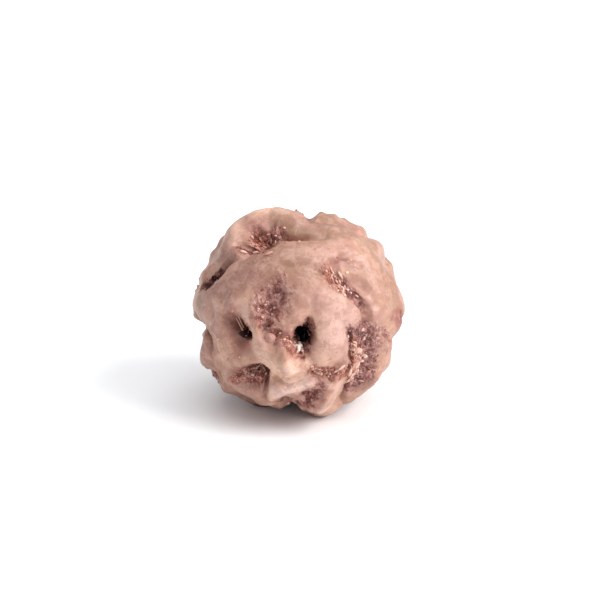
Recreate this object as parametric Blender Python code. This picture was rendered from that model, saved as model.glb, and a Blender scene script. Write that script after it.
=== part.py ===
"""A rudraksha seed: the stony, deeply folded pit of an Elaeocarpus fruit, resting as it would on a table.

The seed is one grown piece. Its skin is a ball raised into rounded folds and sunk into grooves, pits
and rough troughs. A narrow natural channel runs along its axis from the mouth, which faces the front,
to the stalk end behind. The front is -Y, +Z is up, and the origin is on the table under the middle.
Lengths in the relief are millimetres, and the mesh is scaled to metres once, at the end.
"""

import math
import random

import bmesh
import bpy
import numpy as np
from mathutils import Vector, noise

MM = 0.001

# driving dimensions, in millimetres
SKIN_RADIUS = 9.3           # the ball that every height and depth is measured from
FRONT_TILT = 22.0           # the front map is seen from this many degrees above the horizon
FOLD_REACH = 1.85           # where a fold ends, in its half-widths
REST_HEIGHT = 9.3           # the middle's height above the table
FEET = [(2.3, -3.3, 1.05), (-3.7, -0.2, 1.2), (1.7, 4.1, 1.55)]   # x, y and half-width of the low points
FOOT_TRIM = 0.16            # how much of each foot is worn flat
ARCH = (4.4, 0.5)           # half-width and depth of the lift between the feet
CHANNEL_RADIUS = 0.62
MOUTH = (0.35, -2.25)       # where the channel comes out, on the front map
DRIFT = 0.2                 # how far the folds wander sideways
FACES = 5                   # the seed's natural faces, which furrows divide behind
FRONT_MAP_EDGE = -0.12      # cosine from the front map's viewer where the hand-placed folds end
SEED = 5
DENSE_SUBDIVISIONS = 7      # of the icosphere that is sculpted
KEPT_FACES = 10400          # what is left of it once it is thinned

# Folds seen from the front, each a crest of points: across, up, half-width, height over the ball. A
# point outside the outline lies as far round behind it.
FRONT_FOLDS = {
    "crown_rim": [(-6.7, 5.3, 1.3, 0.8), (-6.8, 6.6, 1.5, 1.1), (-6.2, 8.0, 1.6, 1.5), (-4.3, 9.3, 1.7, 1.5),
                  (-2.5, 9.6, 1.5, 1.25), (-0.9, 9.3, 1.2, 1.35)],
    "crown_back": [(-7.5, 7.2, 1.0, 0.95), (-8.1, 7.9, 1.1, 0.9), (-6.9, 8.9, 1.4, 1.2),
                   (-4.7, 10.3, 1.6, 1.0), (-2.4, 10.8, 1.3, 0.7)],
    "crown_cheek": [(-5.7, 7.2, 1.0, 0.8), (-5.6, 6.2, 0.9, 0.7), (-5.9, 5.4, 0.8, 0.55)],
    "temple": [(-8.3, 5.7, 0.8, 0.7), (-9.0, 6.0, 1.0, 0.65)],
    "left_band": [(-6.5, 5.5, 0.9, 0.7), (-7.4, 4.7, 0.9, 0.75), (-8.4, 3.9, 0.9, 0.6), (-9.3, 3.2, 0.9, 0.55)],
    "arch": [(-9.4, 1.6, 1.0, 0.4), (-7.8, 1.9, 1.2, 0.75), (-6.4, 2.9, 1.4, 0.85), (-4.8, 3.7, 1.4, 0.9),
             (-3.2, 4.3, 1.4, 0.95), (-1.2, 4.9, 1.5, 1.0), (0.8, 5.2, 1.5, 1.0), (2.8, 5.4, 1.5, 0.9),
             (4.6, 6.0, 1.6, 0.75)],
    "brow": [(-2.6, 3.2, 1.0, 0.55), (-0.8, 3.1, 1.0, 0.6), (0.8, 3.0, 1.0, 0.6), (1.8, 2.6, 0.9, 0.6)],
    "shoulder": [(3.6, 7.3, 1.6, 0.5), (5.2, 6.6, 1.8, 0.65), (6.7, 5.3, 2.0, 0.85), (7.5, 3.9, 1.7, 0.85),
                 (8.0, 2.3, 1.5, 0.8), (8.3, 0.6, 1.2, 0.7)],
    "shoulder_limb": [(7.4, 6.1, 0.9, 0.7), (8.2, 6.6, 1.0, 0.9), (9.2, 7.0, 1.2, 0.7)],
    "shoulder_back": [(5.9, 7.9, 0.8, 0.65), (6.8, 8.7, 1.0, 0.8)],
    "knob": [(1.8, 8.8, 0.8, 0.35), (3.4, 9.0, 1.0, 0.5), (4.0, 8.6, 0.9, 0.35), (3.8, 10.2, 1.1, 0.35)],
    "saddle": [(1.0, 7.8, 0.9, 0.35), (2.2, 7.7, 0.8, 0.35), (3.3, 7.6, 1.0, 0.45)],
    "lobe": [(0.9, 1.9, 1.2, 0.7), (2.2, 1.5, 1.5, 0.85), (3.6, 0.8, 1.5, 0.85), (4.7, -0.2, 1.2, 0.75),
             (5.0, -1.0, 0.8, 0.55)],
    "lobe_root": [(0.1, 0.6, 1.2, 0.55), (-0.1, -0.6, 0.9, 0.65)],
    "disc": [(2.7, -0.6, 1.3, 0.75), (3.0, -2.0, 1.6, 0.85), (3.0, -3.4, 1.6, 0.9), (2.4, -4.2, 1.2, 0.8)],
    "beak": [(-3.4, -3.2, 1.1, 0.75), (-2.7, -4.0, 1.4, 1.0), (-1.9, -4.8, 1.3, 1.3), (-0.9, -5.2, 1.1, 1.4),
             (0.3, -5.4, 0.8, 1.05)],
    "beak_crest": [(-1.6, -3.0, 0.55, 0.85), (-1.35, -4.0, 0.6, 1.25), (-1.1, -4.9, 0.7, 1.6), (-0.9, -5.6, 0.65, 1.5)],
    "under_beak": [(0.8, -6.8, 0.9, 0.75), (-0.6, -7.15, 1.0, 1.05), (-1.7, -7.4, 0.9, 1.1),
                   (-2.4, -8.1, 0.65, 0.9), (-2.6, -8.75, 0.45, 0.7)],
    "keel": [(-2.65, -6.1, 0.3, 0.55), (-2.62, -7.0, 0.3, 0.7), (-2.55, -8.0, 0.3, 0.55)],
    "bridge": [(-4.8, 1.8, 1.3, 0.5), (-4.7, 0.4, 1.1, 0.55), (-4.1, -1.0, 0.8, 0.65), (-3.8, -2.2, 0.65, 0.7),
               (-3.5, -3.2, 0.8, 0.75)],
    "thin_rib": [(-2.9, -0.8, 0.3, 0.35), (-3.6, -1.8, 0.35, 0.5)],
    "mouth_brow": [(-2.0, -0.9, 0.9, 0.45), (-1.1, -1.2, 0.9, 0.55), (-0.8, -2.0, 0.7, 0.6)],
    "left_brow": [(-6.1, 1.6, 1.0, 0.65), (-6.2, 0.5, 0.9, 0.7)],
    "left_bulge": [(-8.6, 1.2, 0.9, 0.65), (-9.9, 0.9, 1.0, 0.7), (-11.0, 0.7, 1.1, 0.6)],
    "left_bulge_foot": [(-8.8, -0.1, 0.7, 0.5), (-9.9, 0.0, 0.6, 0.25)],
    "left_middle": [(-7.4, 1.2, 0.9, 0.55), (-7.3, -0.4, 0.9, 0.65)],
    "cheek": [(-7.9, -1.2, 0.7, 0.5), (-7.3, -2.0, 1.0, 0.7), (-6.7, -3.3, 1.3, 0.9), (-6.0, -4.3, 1.2, 0.85),
              (-4.9, -4.4, 1.0, 0.7)],
    "cheek_crest": [(-8.45, -1.6, 0.3, 0.6), (-8.05, -2.7, 0.35, 0.95), (-7.8, -3.7, 0.4, 1.05),
                    (-7.4, -4.7, 0.4, 0.95), (-6.6, -5.55, 0.45, 0.8)],
    "left_foot": [(-8.8, -2.9, 0.6, 0.45), (-9.1, -3.8, 0.8, 0.75), (-9.2, -4.9, 0.9, 1.1), (-8.5, -5.8, 0.8, 0.85),
                  (-9.6, -6.6, 1.0, 0.9)],
    "left_rib": [(-8.3, -3.9, 0.4, 0.5), (-8.0, -5.0, 0.45, 0.6), (-7.3, -6.1, 0.5, 0.5)],
    "lower_cheek": [(-7.2, -6.3, 0.9, 0.55), (-6.3, -6.4, 0.9, 0.6), (-5.9, -7.2, 1.1, 0.55),
                    (-4.8, -7.6, 1.2, 0.55), (-3.7, -7.8, 1.1, 0.55), (-3.6, -8.6, 0.9, 0.5)],
    "lower_limb": [(-7.9, -6.7, 0.8, 0.8), (-7.2, -7.7, 1.0, 1.15), (-6.3, -8.4, 1.0, 0.8), (-5.0, -9.0, 1.0, 0.65),
                   (-3.8, -9.6, 0.9, 0.65)],
    "tooth": [(3.3, -6.4, 1.0, 0.7), (2.9, -7.4, 1.1, 0.95), (2.5, -8.4, 1.05, 1.1), (2.1, -9.5, 0.9, 1.0)],
    "tooth_rib": [(0.3, -8.1, 0.45, 0.5), (0.9, -8.8, 0.5, 0.75), (1.5, -9.4, 0.5, 0.8)],
    "tooth_root": [(1.2, -6.7, 0.8, 0.5), (2.0, -6.6, 0.9, 0.55)],
    "strip": [(3.1, -5.8, 0.4, 0.35), (4.0, -5.4, 0.4, 0.4), (4.6, -4.8, 0.4, 0.4)],
    "right_limb": [(9.3, 3.0, 0.8, 0.8), (9.5, 1.7, 0.8, 0.75), (9.9, 0.3, 1.0, 1.0), (9.8, -0.9, 1.0, 0.9)],
    "terrace": [(6.9, 1.3, 0.9, 0.5), (7.3, 0.0, 1.0, 0.5), (7.8, -1.2, 0.9, 0.5)],
    "right_margin": [(8.3, -2.6, 0.8, 0.45), (8.6, -3.7, 0.9, 0.55), (8.1, -5.0, 0.9, 0.65), (7.3, -6.5, 1.0, 1.0),
                     (6.1, -7.6, 0.9, 0.6), (4.9, -8.5, 0.9, 0.6)],
}

# Hollows seen from the front, each a line of points: across, up, half-width, depth. The number before
# them is how steep the walls are: 2 is a soft dish, 5 a pit with an edge.
FRONT_HOLLOWS = {
    "mouth": (4, [(0.85, -0.8, 0.4, 0.7), (0.75, -1.5, 0.65, 1.7), (0.4, -2.2, 1.15, 3.4), (0.2, -2.65, 0.85, 2.4)]),
    "mouth_foot": (3, [(0.5, -3.0, 0.5, 1.0), (0.7, -3.6, 0.4, 0.45)]),
    "mouth_slope": (2, [(-0.4, -3.2, 0.9, 0.7), (0.1, -4.0, 0.7, 0.4)]),
    "mouth_hood": (2, [(0.4, -1.7, 1.3, 0.45)]),
    "crown_pit": (3, [(-3.7, 6.8, 1.0, 0.8), (-3.2, 6.5, 1.2, 1.2), (-2.75, 6.1, 0.9, 1.3)]),
    "crown_slot": (4, [(-5.3, 5.75, 0.2, 0.25), (-4.4, 5.8, 0.28, 0.6), (-3.4, 5.7, 0.4, 0.9)]),
    "brow_groove": (3, [(-2.3, 6.8, 0.6, 0.8), (-1.2, 6.85, 0.7, 1.1), (0.0, 6.95, 0.7, 0.9), (1.1, 6.9, 0.7, 0.55),
                        (2.2, 6.8, 0.7, 0.35)]),
    "brow_flank": (2, [(-0.6, 7.4, 1.2, 0.5), (0.5, 7.3, 1.1, 0.4), (2.3, 7.3, 0.8, 0.25)]),
    "crown_notch": (2, [(1.0, 8.3, 0.6, 0.3), (1.0, 8.9, 0.8, 0.65), (1.2, 9.6, 1.5, 1.4), (1.3, 10.4, 1.8, 1.5),
                        (1.4, 11.4, 1.3, 0.7)]),
    "slit": (4, [(-8.7, 2.3, 0.5, 1.5), (-7.9, 2.9, 0.5, 1.8), (-7.0, 3.6, 0.45, 1.5), (-6.2, 4.4, 0.45, 1.0),
                 (-5.6, 4.7, 0.35, 0.35)]),
    "slit_flank": (2, [(-8.2, 3.2, 0.8, 0.55), (-7.1, 4.2, 0.8, 0.65), (-6.2, 4.8, 0.7, 0.4)]),
    "slit_hole": (4, [(-8.35, 2.5, 0.4, 1.2), (-8.0, 2.8, 0.5, 1.6)]),
    "slit_hole_above": (4, [(-7.2, 3.4, 0.32, 1.2), (-7.0, 3.6, 0.3, 1.2)]),
    "middle_trough": (2, [(-1.8, 2.6, 0.9, 0.2), (-2.3, 1.6, 1.3, 0.4), (-2.7, 0.5, 1.4, 0.5),
                          (-2.8, -0.5, 1.1, 0.5), (-3.0, -1.4, 0.6, 0.5), (-3.1, -2.0, 0.45, 0.4)]),
    "right_trough": (3, [(3.0, 4.0, 0.7, 0.35), (3.4, 2.9, 0.9, 0.5), (4.3, 2.0, 0.8, 0.5), (5.3, 1.1, 0.8, 0.5),
                         (6.0, 0.2, 0.7, 0.45), (6.1, -0.9, 0.7, 0.35)]),
    "right_terrace": (2, [(5.0, 2.7, 0.9, 0.3), (6.0, 1.9, 0.9, 0.3), (6.7, 0.8, 0.8, 0.2)]),
    "dimple": (2, [(3.9, 4.8, 0.6, 0.35), (4.4, 4.9, 0.6, 0.25)]),
    "dimple_tail": (2, [(4.7, 4.4, 0.35, 0.2), (5.4, 4.0, 0.35, 0.2)]),
    "right_field": (3, [(5.2, -2.0, 0.8, 0.35), (6.1, -3.0, 1.4, 0.5), (6.2, -4.6, 1.5, 0.55),
                        (5.8, -6.0, 1.3, 0.45), (5.2, -7.0, 0.9, 0.3)]),
    "disc_edge": (3, [(4.5, -1.6, 0.4, 0.45), (4.9, -2.6, 0.5, 0.65), (4.9, -3.9, 0.45, 0.6), (4.8, -5.0, 0.4, 0.45),
                      (4.2, -5.8, 0.45, 0.5)]),
    "under_disc": (3, [(4.3, -4.6, 0.3, 0.3), (3.4, -5.1, 0.35, 0.35), (2.6, -5.6, 0.6, 0.65),
                       (1.3, -5.6, 0.55, 0.45)]),
    "left_eye": (5, [(-5.5, -1.3, 0.55, 1.0), (-5.0, -1.75, 0.65, 2.4), (-4.6, -2.1, 0.6, 2.8)]),
    "left_eye_lid": (2, [(-6.2, -0.8, 1.1, 0.9), (-5.5, -1.1, 1.0, 1.0)]),
    "left_eye_fall": (2, [(-5.3, -2.7, 0.9, 0.5), (-5.4, -3.4, 0.8, 0.25)]),
    "lower_pit": (4, [(-5.2, -5.8, 0.6, 0.45), (-4.3, -5.55, 0.9, 1.3), (-3.4, -5.4, 0.75, 1.5)]),
    "lower_pit_hole": (5, [(-3.9, -5.35, 0.4, 1.3), (-3.8, -5.5, 0.35, 1.3)]),
    "lower_pit_holes_above": (5, [(-4.2, -4.8, 0.3, 1.0), (-3.4, -4.9, 0.35, 1.2), (-2.9, -5.2, 0.35, 1.4)]),
    "beak_edge": (3, [(-2.2, -5.9, 0.3, 0.3), (-1.6, -6.1, 0.3, 0.45), (-0.9, -6.25, 0.3, 0.5),
                      (0.0, -6.2, 0.3, 0.4), (0.8, -5.95, 0.3, 0.2)]),
    "lower_pit_fall": (2, [(-5.2, -6.4, 0.8, 0.4), (-3.9, -6.4, 0.9, 0.5)]),
    "lower_pit_edge": (3, [(-2.95, -5.7, 0.35, 0.8), (-3.0, -6.7, 0.3, 0.45), (-2.95, -7.6, 0.25, 0.3)]),
    "cheek_shade": (2, [(-4.25, -2.9, 0.4, 0.15), (-4.3, -4.2, 0.4, 0.15)]),
    "cheek_gap": (3, [(-8.8, -2.0, 0.35, 1.2), (-8.5, -2.9, 0.42, 1.8), (-8.25, -3.9, 0.4, 1.5),
                      (-7.9, -4.9, 0.4, 1.1), (-7.0, -5.9, 0.35, 0.6)]),
    "left_notch": (2, [(-8.8, -1.6, 0.6, 0.5), (-9.4, -1.25, 1.0, 1.0), (-10.6, -1.8, 1.3, 1.0)]),
    "lower_crease": (3, [(-6.9, -6.8, 0.25, 0.2), (-5.9, -6.9, 0.3, 0.25)]),
    "foot_gap": (3, [(-1.1, -8.2, 0.6, 0.35), (-0.7, -9.0, 1.0, 0.7), (-0.7, -9.9, 1.5, 1.25), (-0.9, -10.9, 1.6, 0.7)]),
    "tooth_gap": (3, [(0.5, -7.3, 0.3, 0.3), (0.9, -7.9, 0.3, 0.5), (1.4, -8.7, 0.3, 0.5)]),
    "tooth_edge": (3, [(4.5, -6.8, 0.35, 0.6), (4.1, -7.8, 0.4, 0.8), (3.7, -8.8, 0.4, 0.6)]),
    "tooth_dish": (2, [(1.6, -7.1, 0.9, 0.35), (2.4, -6.9, 0.6, 0.25)]),
    "right_dent": (2, [(8.8, -0.2, 0.45, 0.4), (9.05, -0.9, 0.45, 0.35)]),
    "right_notch": (2, [(8.8, -2.5, 0.7, 0.4), (9.3, -2.6, 1.0, 0.65), (10.4, -3.1, 1.3, 0.8)]),
    "shoulder_notch": (2, [(8.3, 4.6, 0.5, 0.3), (8.9, 4.9, 0.8, 0.8), (9.9, 5.3, 1.1, 0.8)]),
    "limb_crease": (3, [(7.9, 4.4, 0.3, 0.15), (8.4, 3.6, 0.3, 0.2)]),
    "knob_back": (2, [(1.9, 9.2, 0.7, 0.6), (2.7, 9.15, 0.9, 0.95)]),
    "knob_notch": (2, [(4.7, 8.1, 0.6, 0.4), (5.0, 8.8, 0.8, 0.75), (5.6, 9.8, 1.0, 0.7)]),
    "brow_crease": (3, [(-1.5, 3.7, 0.25, 0.12), (-0.2, 3.8, 0.25, 0.15), (1.2, 3.75, 0.25, 0.15),
                        (2.3, 3.1, 0.35, 0.2)]),
}


def unit(rows):
    return rows / np.linalg.norm(rows, axis=-1, keepdims=True)


def on_front(across, up, radius=SKIN_RADIUS):
    """The direction from the seed's middle of a point of the front map, on a ball of this radius."""
    tilt = math.radians(FRONT_TILT)
    turn = math.atan2(up, across)
    share = math.hypot(across, up) / radius
    reach = min(share, 2.0 - share)
    right, high = reach * math.cos(turn), reach * math.sin(turn)
    toward = math.copysign(math.sqrt(1.0 - reach * reach), 1.0 - share)
    return Vector((
        right,
        -toward * math.cos(tilt) + high * math.sin(tilt),
        toward * math.sin(tilt) + high * math.cos(tilt),
    ))


def front_fold(points):
    """A fold of the front map as rows of x, y, z in millimetres, half-width and height."""
    return [
        (*(on_front(across, up, SKIN_RADIUS + height) * SKIN_RADIUS), width, height)
        for across, up, width, height in points
    ]


def front_hollow(points):
    """A hollow of the front map as rows of x, y, z in millimetres, half-width and depth."""
    return [(*(on_front(across, up) * SKIN_RADIUS), width, depth) for across, up, width, depth in points]


def spread(count, turn=0.0):
    """Directions spaced evenly over a ball, by the golden angle, from the stalk end to the mouth."""
    stalk = -on_front(*MOUTH)
    side = stalk.orthogonal().normalized()
    third = stalk.cross(side)
    for index in range(count):
        along = 1.0 - (2 * index + 1) / count
        around = index * math.pi * (3 - math.sqrt(5)) + turn
        ring = math.sqrt(1.0 - along * along)
        yield stalk * along + side * (ring * math.cos(around)) + third * (ring * math.sin(around))


def seen_from_front(direction):
    """The cosine between a direction and the line towards the front map's viewer."""
    return direction.dot(on_front(0.0, 0.0))


def off_the_table(direction):
    """One over most of the ball, falling to a fifth straight down, where only the feet stand out."""
    return 1.0 - 0.8 * min(1.0, max(0.0, (-direction.z - 0.72) / 0.22))


def feet():
    """The three low points that the seed rests on, each a short fold that reaches past the table."""
    for x, y, width in FEET:
        spot = Vector((x, y, -REST_HEIGHT))
        height = spot.length + FOOT_TRIM - SKIN_RADIUS
        inner = Vector((x * 0.75, y * 0.75, -REST_HEIGHT)).normalized() * SKIN_RADIUS
        outer = Vector((x * 1.6, y * 1.6, -REST_HEIGHT)).normalized() * SKIN_RADIUS
        spot = spot.normalized() * SKIN_RADIUS
        yield [(*inner, width * 1.1, height * 0.4), (*spot, width, height * 0.9), (*outer, width, height * 0.8)]


def arch_between_feet():
    """The underside's lift, which keeps all but the feet off the table."""
    return 2, [(0.0, 0.4, -SKIN_RADIUS, *ARCH)] * 2


def heading_from(draw, spot):
    """A random direction along the ball's skin."""
    return spot.cross(Vector((draw.uniform(-1, 1), draw.uniform(-1, 1), draw.uniform(-1, 1)))).normalized()


def wander(draw, spot, steps, stride, limit):
    """A winding line over the ball, cut short where it would come in sight of the front map's viewer."""
    heading = heading_from(draw, spot)
    bend = draw.uniform(-0.5, 0.5)
    line = []
    for _ in range(steps):
        if seen_from_front(spot) > limit:
            break
        line.append(spot.copy())
        spot = (spot + heading * stride * draw.uniform(0.8, 1.2)).normalized()
        heading = (heading - spot * heading.dot(spot)).normalized()
        heading = (heading + spot.cross(heading) * (bend + draw.uniform(-0.4, 0.4))).normalized()
    return line


def wandering_features(count, turn, seed, steps, widths, heights, limit=FRONT_MAP_EDGE):
    """Winding lines spaced evenly over the sides and back, each with a width and height of its own."""
    draw = random.Random(seed)
    for start in spread(count, turn):
        width, height = draw.uniform(*widths), draw.uniform(*heights) * off_the_table(start)
        line = wander(draw, start, draw.choice(steps), 0.19, limit)
        if line:
            yield [
                (*(spot * SKIN_RADIUS), width * draw.uniform(0.8, 1.2), height * draw.uniform(0.75, 1.2))
                for spot in line
            ]


def wandering_folds():
    """Broad swellings, winding folds and small knobs, where the front map doesn't reach."""
    yield from wandering_features(22, 0.4, SEED, (1, 2), (1.6, 2.4), (0.3, 0.6))
    yield from wandering_features(90, 0.0, SEED + 1, (2, 3, 3, 4, 5), (0.8, 1.4), (0.4, 0.9))
    yield from wandering_features(60, 2.1, SEED + 2, (1, 1, 2), (0.5, 0.8), (0.4, 0.8))


def wandering_hollows():
    """Rough troughs, grooves and pits over the sides and back."""
    for path in wandering_features(26, 0.9, SEED + 3, (2, 3, 4), (1.0, 1.6), (0.35, 0.6)):
        yield 2, path
    for path in wandering_features(50, 1.7, SEED + 4, (2, 3, 3, 4), (0.4, 0.7), (0.4, 0.8)):
        yield 2, path
    for path in wandering_features(34, 1.3, SEED + 5, (1, 1, 2), (0.45, 0.85), (0.6, 1.5)):
        yield 3, path


def furrows():
    """The lines between the seed's faces, which run out from the stalk end and fade towards the front."""
    draw = random.Random(SEED + 6)
    stalk = -on_front(*MOUTH)
    side = stalk.orthogonal().normalized()
    third = stalk.cross(side)
    for index in range(FACES):
        path = []
        sway = draw.uniform(0, 6.28)
        for step in range(13):
            tip = math.radians(8 + 8 * step)
            around = 2 * math.pi * index / FACES + 0.14 * math.sin(1.1 * step + sway)
            spot = stalk * math.cos(tip) + (side * math.cos(around) + third * math.sin(around)) * math.sin(tip)
            if seen_from_front(spot) < 0.0:
                depth = draw.uniform(0.3, 0.75) * off_the_table(spot)
                path.append((*(spot * SKIN_RADIUS), draw.uniform(0.5, 0.9), depth))
        yield 2, path


def stalk_end():
    """The rim and the funnel where the channel comes out behind."""
    stalk = -on_front(*MOUTH)
    side = stalk.orthogonal().normalized()
    third = stalk.cross(side)
    rim = []
    for step in range(11):
        around = 2 * math.pi * step / 10
        spot = (stalk + (side * math.cos(around) + third * math.sin(around)) * 0.2).normalized()
        rim.append((*(spot * SKIN_RADIUS), 0.8, 0.7 + 0.15 * math.sin(2.5 * around)))
    return rim, (3, [(*(stalk * SKIN_RADIUS), 1.25, 1.4)] * 2)


def segments(path):
    """The stretches of a path, or the path's one point as a stretch with no length."""
    return list(zip(path, path[1:])) or [(path[0], path[0])]


def nearest(skin, start, end):
    """For each skin point, how far it is from a stretch, in half-widths, and the height there."""
    start, end = np.array(start), np.array(end)
    run = end[:3] - start[:3]
    share = np.clip((skin - start[:3]) @ run / max(run @ run, 1e-9), 0, 1)
    away = np.linalg.norm(skin - start[:3] - share[:, None] * run, axis=1)
    width, level = (start[k] + share * (end[k] - start[k]) for k in (3, 4))
    return away / width, level


def bell(away, steepness=2):
    """One on a line and nothing at its edge, with a rounder shoulder the higher the steepness."""
    return (1 - np.minimum(away, 1) ** steepness) ** 2


def swell(skin, features, reach=1.0):
    """The features' heights run together, where they overlap by little more than the highest."""
    total = np.zeros(len(skin))
    for steepness, path in features:
        highest = np.zeros(len(skin))
        for start, end in segments(path):
            away, level = nearest(skin, start, end)
            highest = np.maximum(highest, level * bell(away / reach, steepness))
        total += highest**3
    return np.cbrt(total)


def drift(directions):
    """A slow wander of the skin, so that no fold runs dead straight."""
    return np.array([noise.noise_vector(Vector(spot) * 4.3 + Vector((3.1, 7.7, 1.9))) for spot in directions])


def relief(directions):
    """The skin's height over the ball, in millimetres, in each direction."""
    skin = directions * SKIN_RADIUS + drift(directions) * DRIFT
    rim, funnel = stalk_end()
    folds = [(2, front_fold(points)) for points in FRONT_FOLDS.values()]
    folds += [(2, path) for path in [*wandering_folds(), *feet(), rim]]
    hollows = [(steepness, front_hollow(points)) for steepness, points in FRONT_HOLLOWS.values()]
    hollows += [*wandering_hollows(), *furrows(), funnel, arch_between_feet()]
    return swell(skin, folds, FOLD_REACH) - swell(skin, hollows)


def clear_scene():
    for obj in list(bpy.data.objects):
        bpy.data.objects.remove(obj, do_unlink=True)


def collection(name):
    made = bpy.data.collections.new(name)
    bpy.context.scene.collection.children.link(made)
    return made


def sculpted_ball(name):
    """A ball of even triangles, with each corner moved in or out by the relief."""
    shape = bmesh.new()
    bmesh.ops.create_icosphere(shape, subdivisions=DENSE_SUBDIVISIONS, radius=1.0)
    mesh = bpy.data.meshes.new(name)
    shape.to_mesh(mesh)
    shape.free()
    corners = np.empty(len(mesh.vertices) * 3)
    mesh.vertices.foreach_get("co", corners)
    directions = unit(corners.reshape(-1, 3))
    skin = directions * (SKIN_RADIUS + relief(directions))[:, None]
    mesh.vertices.foreach_set("co", (skin * MM).ravel())
    mesh.update()
    return mesh


def as_cutter(obj, cutters):
    cutters.objects.link(obj)
    obj.hide_render = True
    obj.display_type = "WIRE"
    return obj


def channel_cutter(cutters):
    """A slightly bent tube along the seed's axis, from outside the mouth to outside the stalk end."""
    mouth = on_front(*MOUTH)
    sag = Vector((0.02, 0.0, -0.05))
    route = [mouth * 1.3, mouth * 0.6 + sag, sag * 1.6, -mouth * 0.6 + sag, -mouth * 1.3]
    line = bpy.data.curves.new("channel_line", "CURVE")
    line.dimensions = "3D"
    line.bevel_depth = CHANNEL_RADIUS * MM
    line.bevel_resolution = 3
    line.use_fill_caps = True
    strand = line.splines.new("POLY")
    strand.points.add(len(route) - 1)
    for point, spot in zip(strand.points, route):
        point.co = (*(spot * SKIN_RADIUS * MM), 1.0)
    guide = bpy.data.objects.new("channel_line", line)
    cutters.objects.link(guide)
    tube = bpy.data.meshes.new_from_object(guide.evaluated_get(bpy.context.evaluated_depsgraph_get()))
    bpy.data.objects.remove(guide, do_unlink=True)
    shape = bmesh.new()
    shape.from_mesh(tube)
    bmesh.ops.remove_doubles(shape, verts=shape.verts, dist=1e-6)
    bmesh.ops.recalc_face_normals(shape, faces=shape.faces)
    shape.to_mesh(tube)
    shape.free()
    return as_cutter(bpy.data.objects.new("channel_cutter", tube), cutters)


def table_cutter(cutters):
    """A block whose top face is the table, to wear the three feet flat."""
    shape = bmesh.new()
    bmesh.ops.create_cube(shape, size=1.0)
    mesh = bpy.data.meshes.new("table_cutter")
    shape.to_mesh(mesh)
    shape.free()
    block = as_cutter(bpy.data.objects.new("table_cutter", mesh), cutters)
    block.scale = (30 * MM, 30 * MM, 4 * MM)
    block.location = (0, 0, -(REST_HEIGHT + 2) * MM)
    return block


def cut(obj, name, cutter):
    """Takes the cutter out of the object, which carries it wherever it is put."""
    cutter.parent = obj
    modifier = obj.modifiers.new(name, "BOOLEAN")
    modifier.operation = "DIFFERENCE"
    modifier.solver = "EXACT"
    modifier.object = cutter


def thin_out(obj, faces):
    modifier = obj.modifiers.new("thin_out", "DECIMATE")
    modifier.ratio = faces / len(obj.data.polygons)


def stand_on_table(obj):
    """Puts the object's middle over the origin and its feet on the table."""
    bpy.context.view_layer.update()
    corners = obj.evaluated_get(bpy.context.evaluated_depsgraph_get()).to_mesh().vertices
    for axis in (0, 1):
        places = [corner.co[axis] for corner in corners]
        obj.location[axis] = -(min(places) + max(places)) / 2
    obj.location.z = REST_HEIGHT * MM


def shell_material():
    material = bpy.data.materials.new("waxy_shell")
    material.use_nodes = True
    surface = material.node_tree.nodes["Principled BSDF"]
    surface.inputs["Base Color"].default_value = (0.52, 0.29, 0.21, 1.0)
    surface.inputs["Roughness"].default_value = 0.45
    surface.inputs["Metallic"].default_value = 0.0
    material.diffuse_color = (0.52, 0.29, 0.21, 1.0)
    return material


def main():
    clear_scene()
    parts = collection("rudraksha_seed")
    cutters = collection("cutters")
    seed = bpy.data.objects.new("seed", sculpted_ball("seed"))
    parts.objects.link(seed)
    seed.data.materials.append(shell_material())
    seed.data.shade_smooth()
    cut(seed, "channel", channel_cutter(cutters))
    thin_out(seed, KEPT_FACES)
    cut(seed, "rest", table_cutter(cutters))
    stand_on_table(seed)


if __name__ == "__main__":
    main()
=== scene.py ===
"""A rudraksha seed resting on a plain table: its waxy skin, the rough ground of its pits, fibres and grains.

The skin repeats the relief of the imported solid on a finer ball, with a few of its smallest folds and holes
set more closely, and takes the solid's place. The front map gives a place on the skin as it is seen from the
front, in millimetres across and up from the middle.
"""

import math
import random

import bmesh
import bpy
import numpy as np
from bpy.props import FloatProperty, FloatVectorProperty, IntProperty, PointerProperty
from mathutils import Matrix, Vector, noise
from mathutils.bvhtree import BVHTree


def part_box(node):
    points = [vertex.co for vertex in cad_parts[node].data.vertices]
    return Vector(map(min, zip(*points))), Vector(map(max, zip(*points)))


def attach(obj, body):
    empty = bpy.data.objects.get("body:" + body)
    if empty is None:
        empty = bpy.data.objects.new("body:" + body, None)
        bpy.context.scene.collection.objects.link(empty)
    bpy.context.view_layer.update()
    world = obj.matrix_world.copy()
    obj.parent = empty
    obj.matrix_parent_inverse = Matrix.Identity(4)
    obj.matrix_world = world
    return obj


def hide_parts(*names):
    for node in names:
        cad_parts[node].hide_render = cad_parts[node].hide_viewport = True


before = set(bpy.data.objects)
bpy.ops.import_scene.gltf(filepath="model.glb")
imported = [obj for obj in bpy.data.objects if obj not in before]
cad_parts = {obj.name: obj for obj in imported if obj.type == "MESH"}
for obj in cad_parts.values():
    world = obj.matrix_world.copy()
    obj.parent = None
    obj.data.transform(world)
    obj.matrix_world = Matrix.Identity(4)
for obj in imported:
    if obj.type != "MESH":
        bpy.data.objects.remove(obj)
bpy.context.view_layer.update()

bl_info = {
    "name": "Rudraksha Seed",
    "version": (1, 0, 0),
    "blender": (4, 5, 0),
    "location": "View3D > Sidebar > Rudraksha",
    "description": "A folded, pitted rudraksha seed on a plain table",
    "category": "Add Mesh",
}

MM = 0.001

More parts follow.
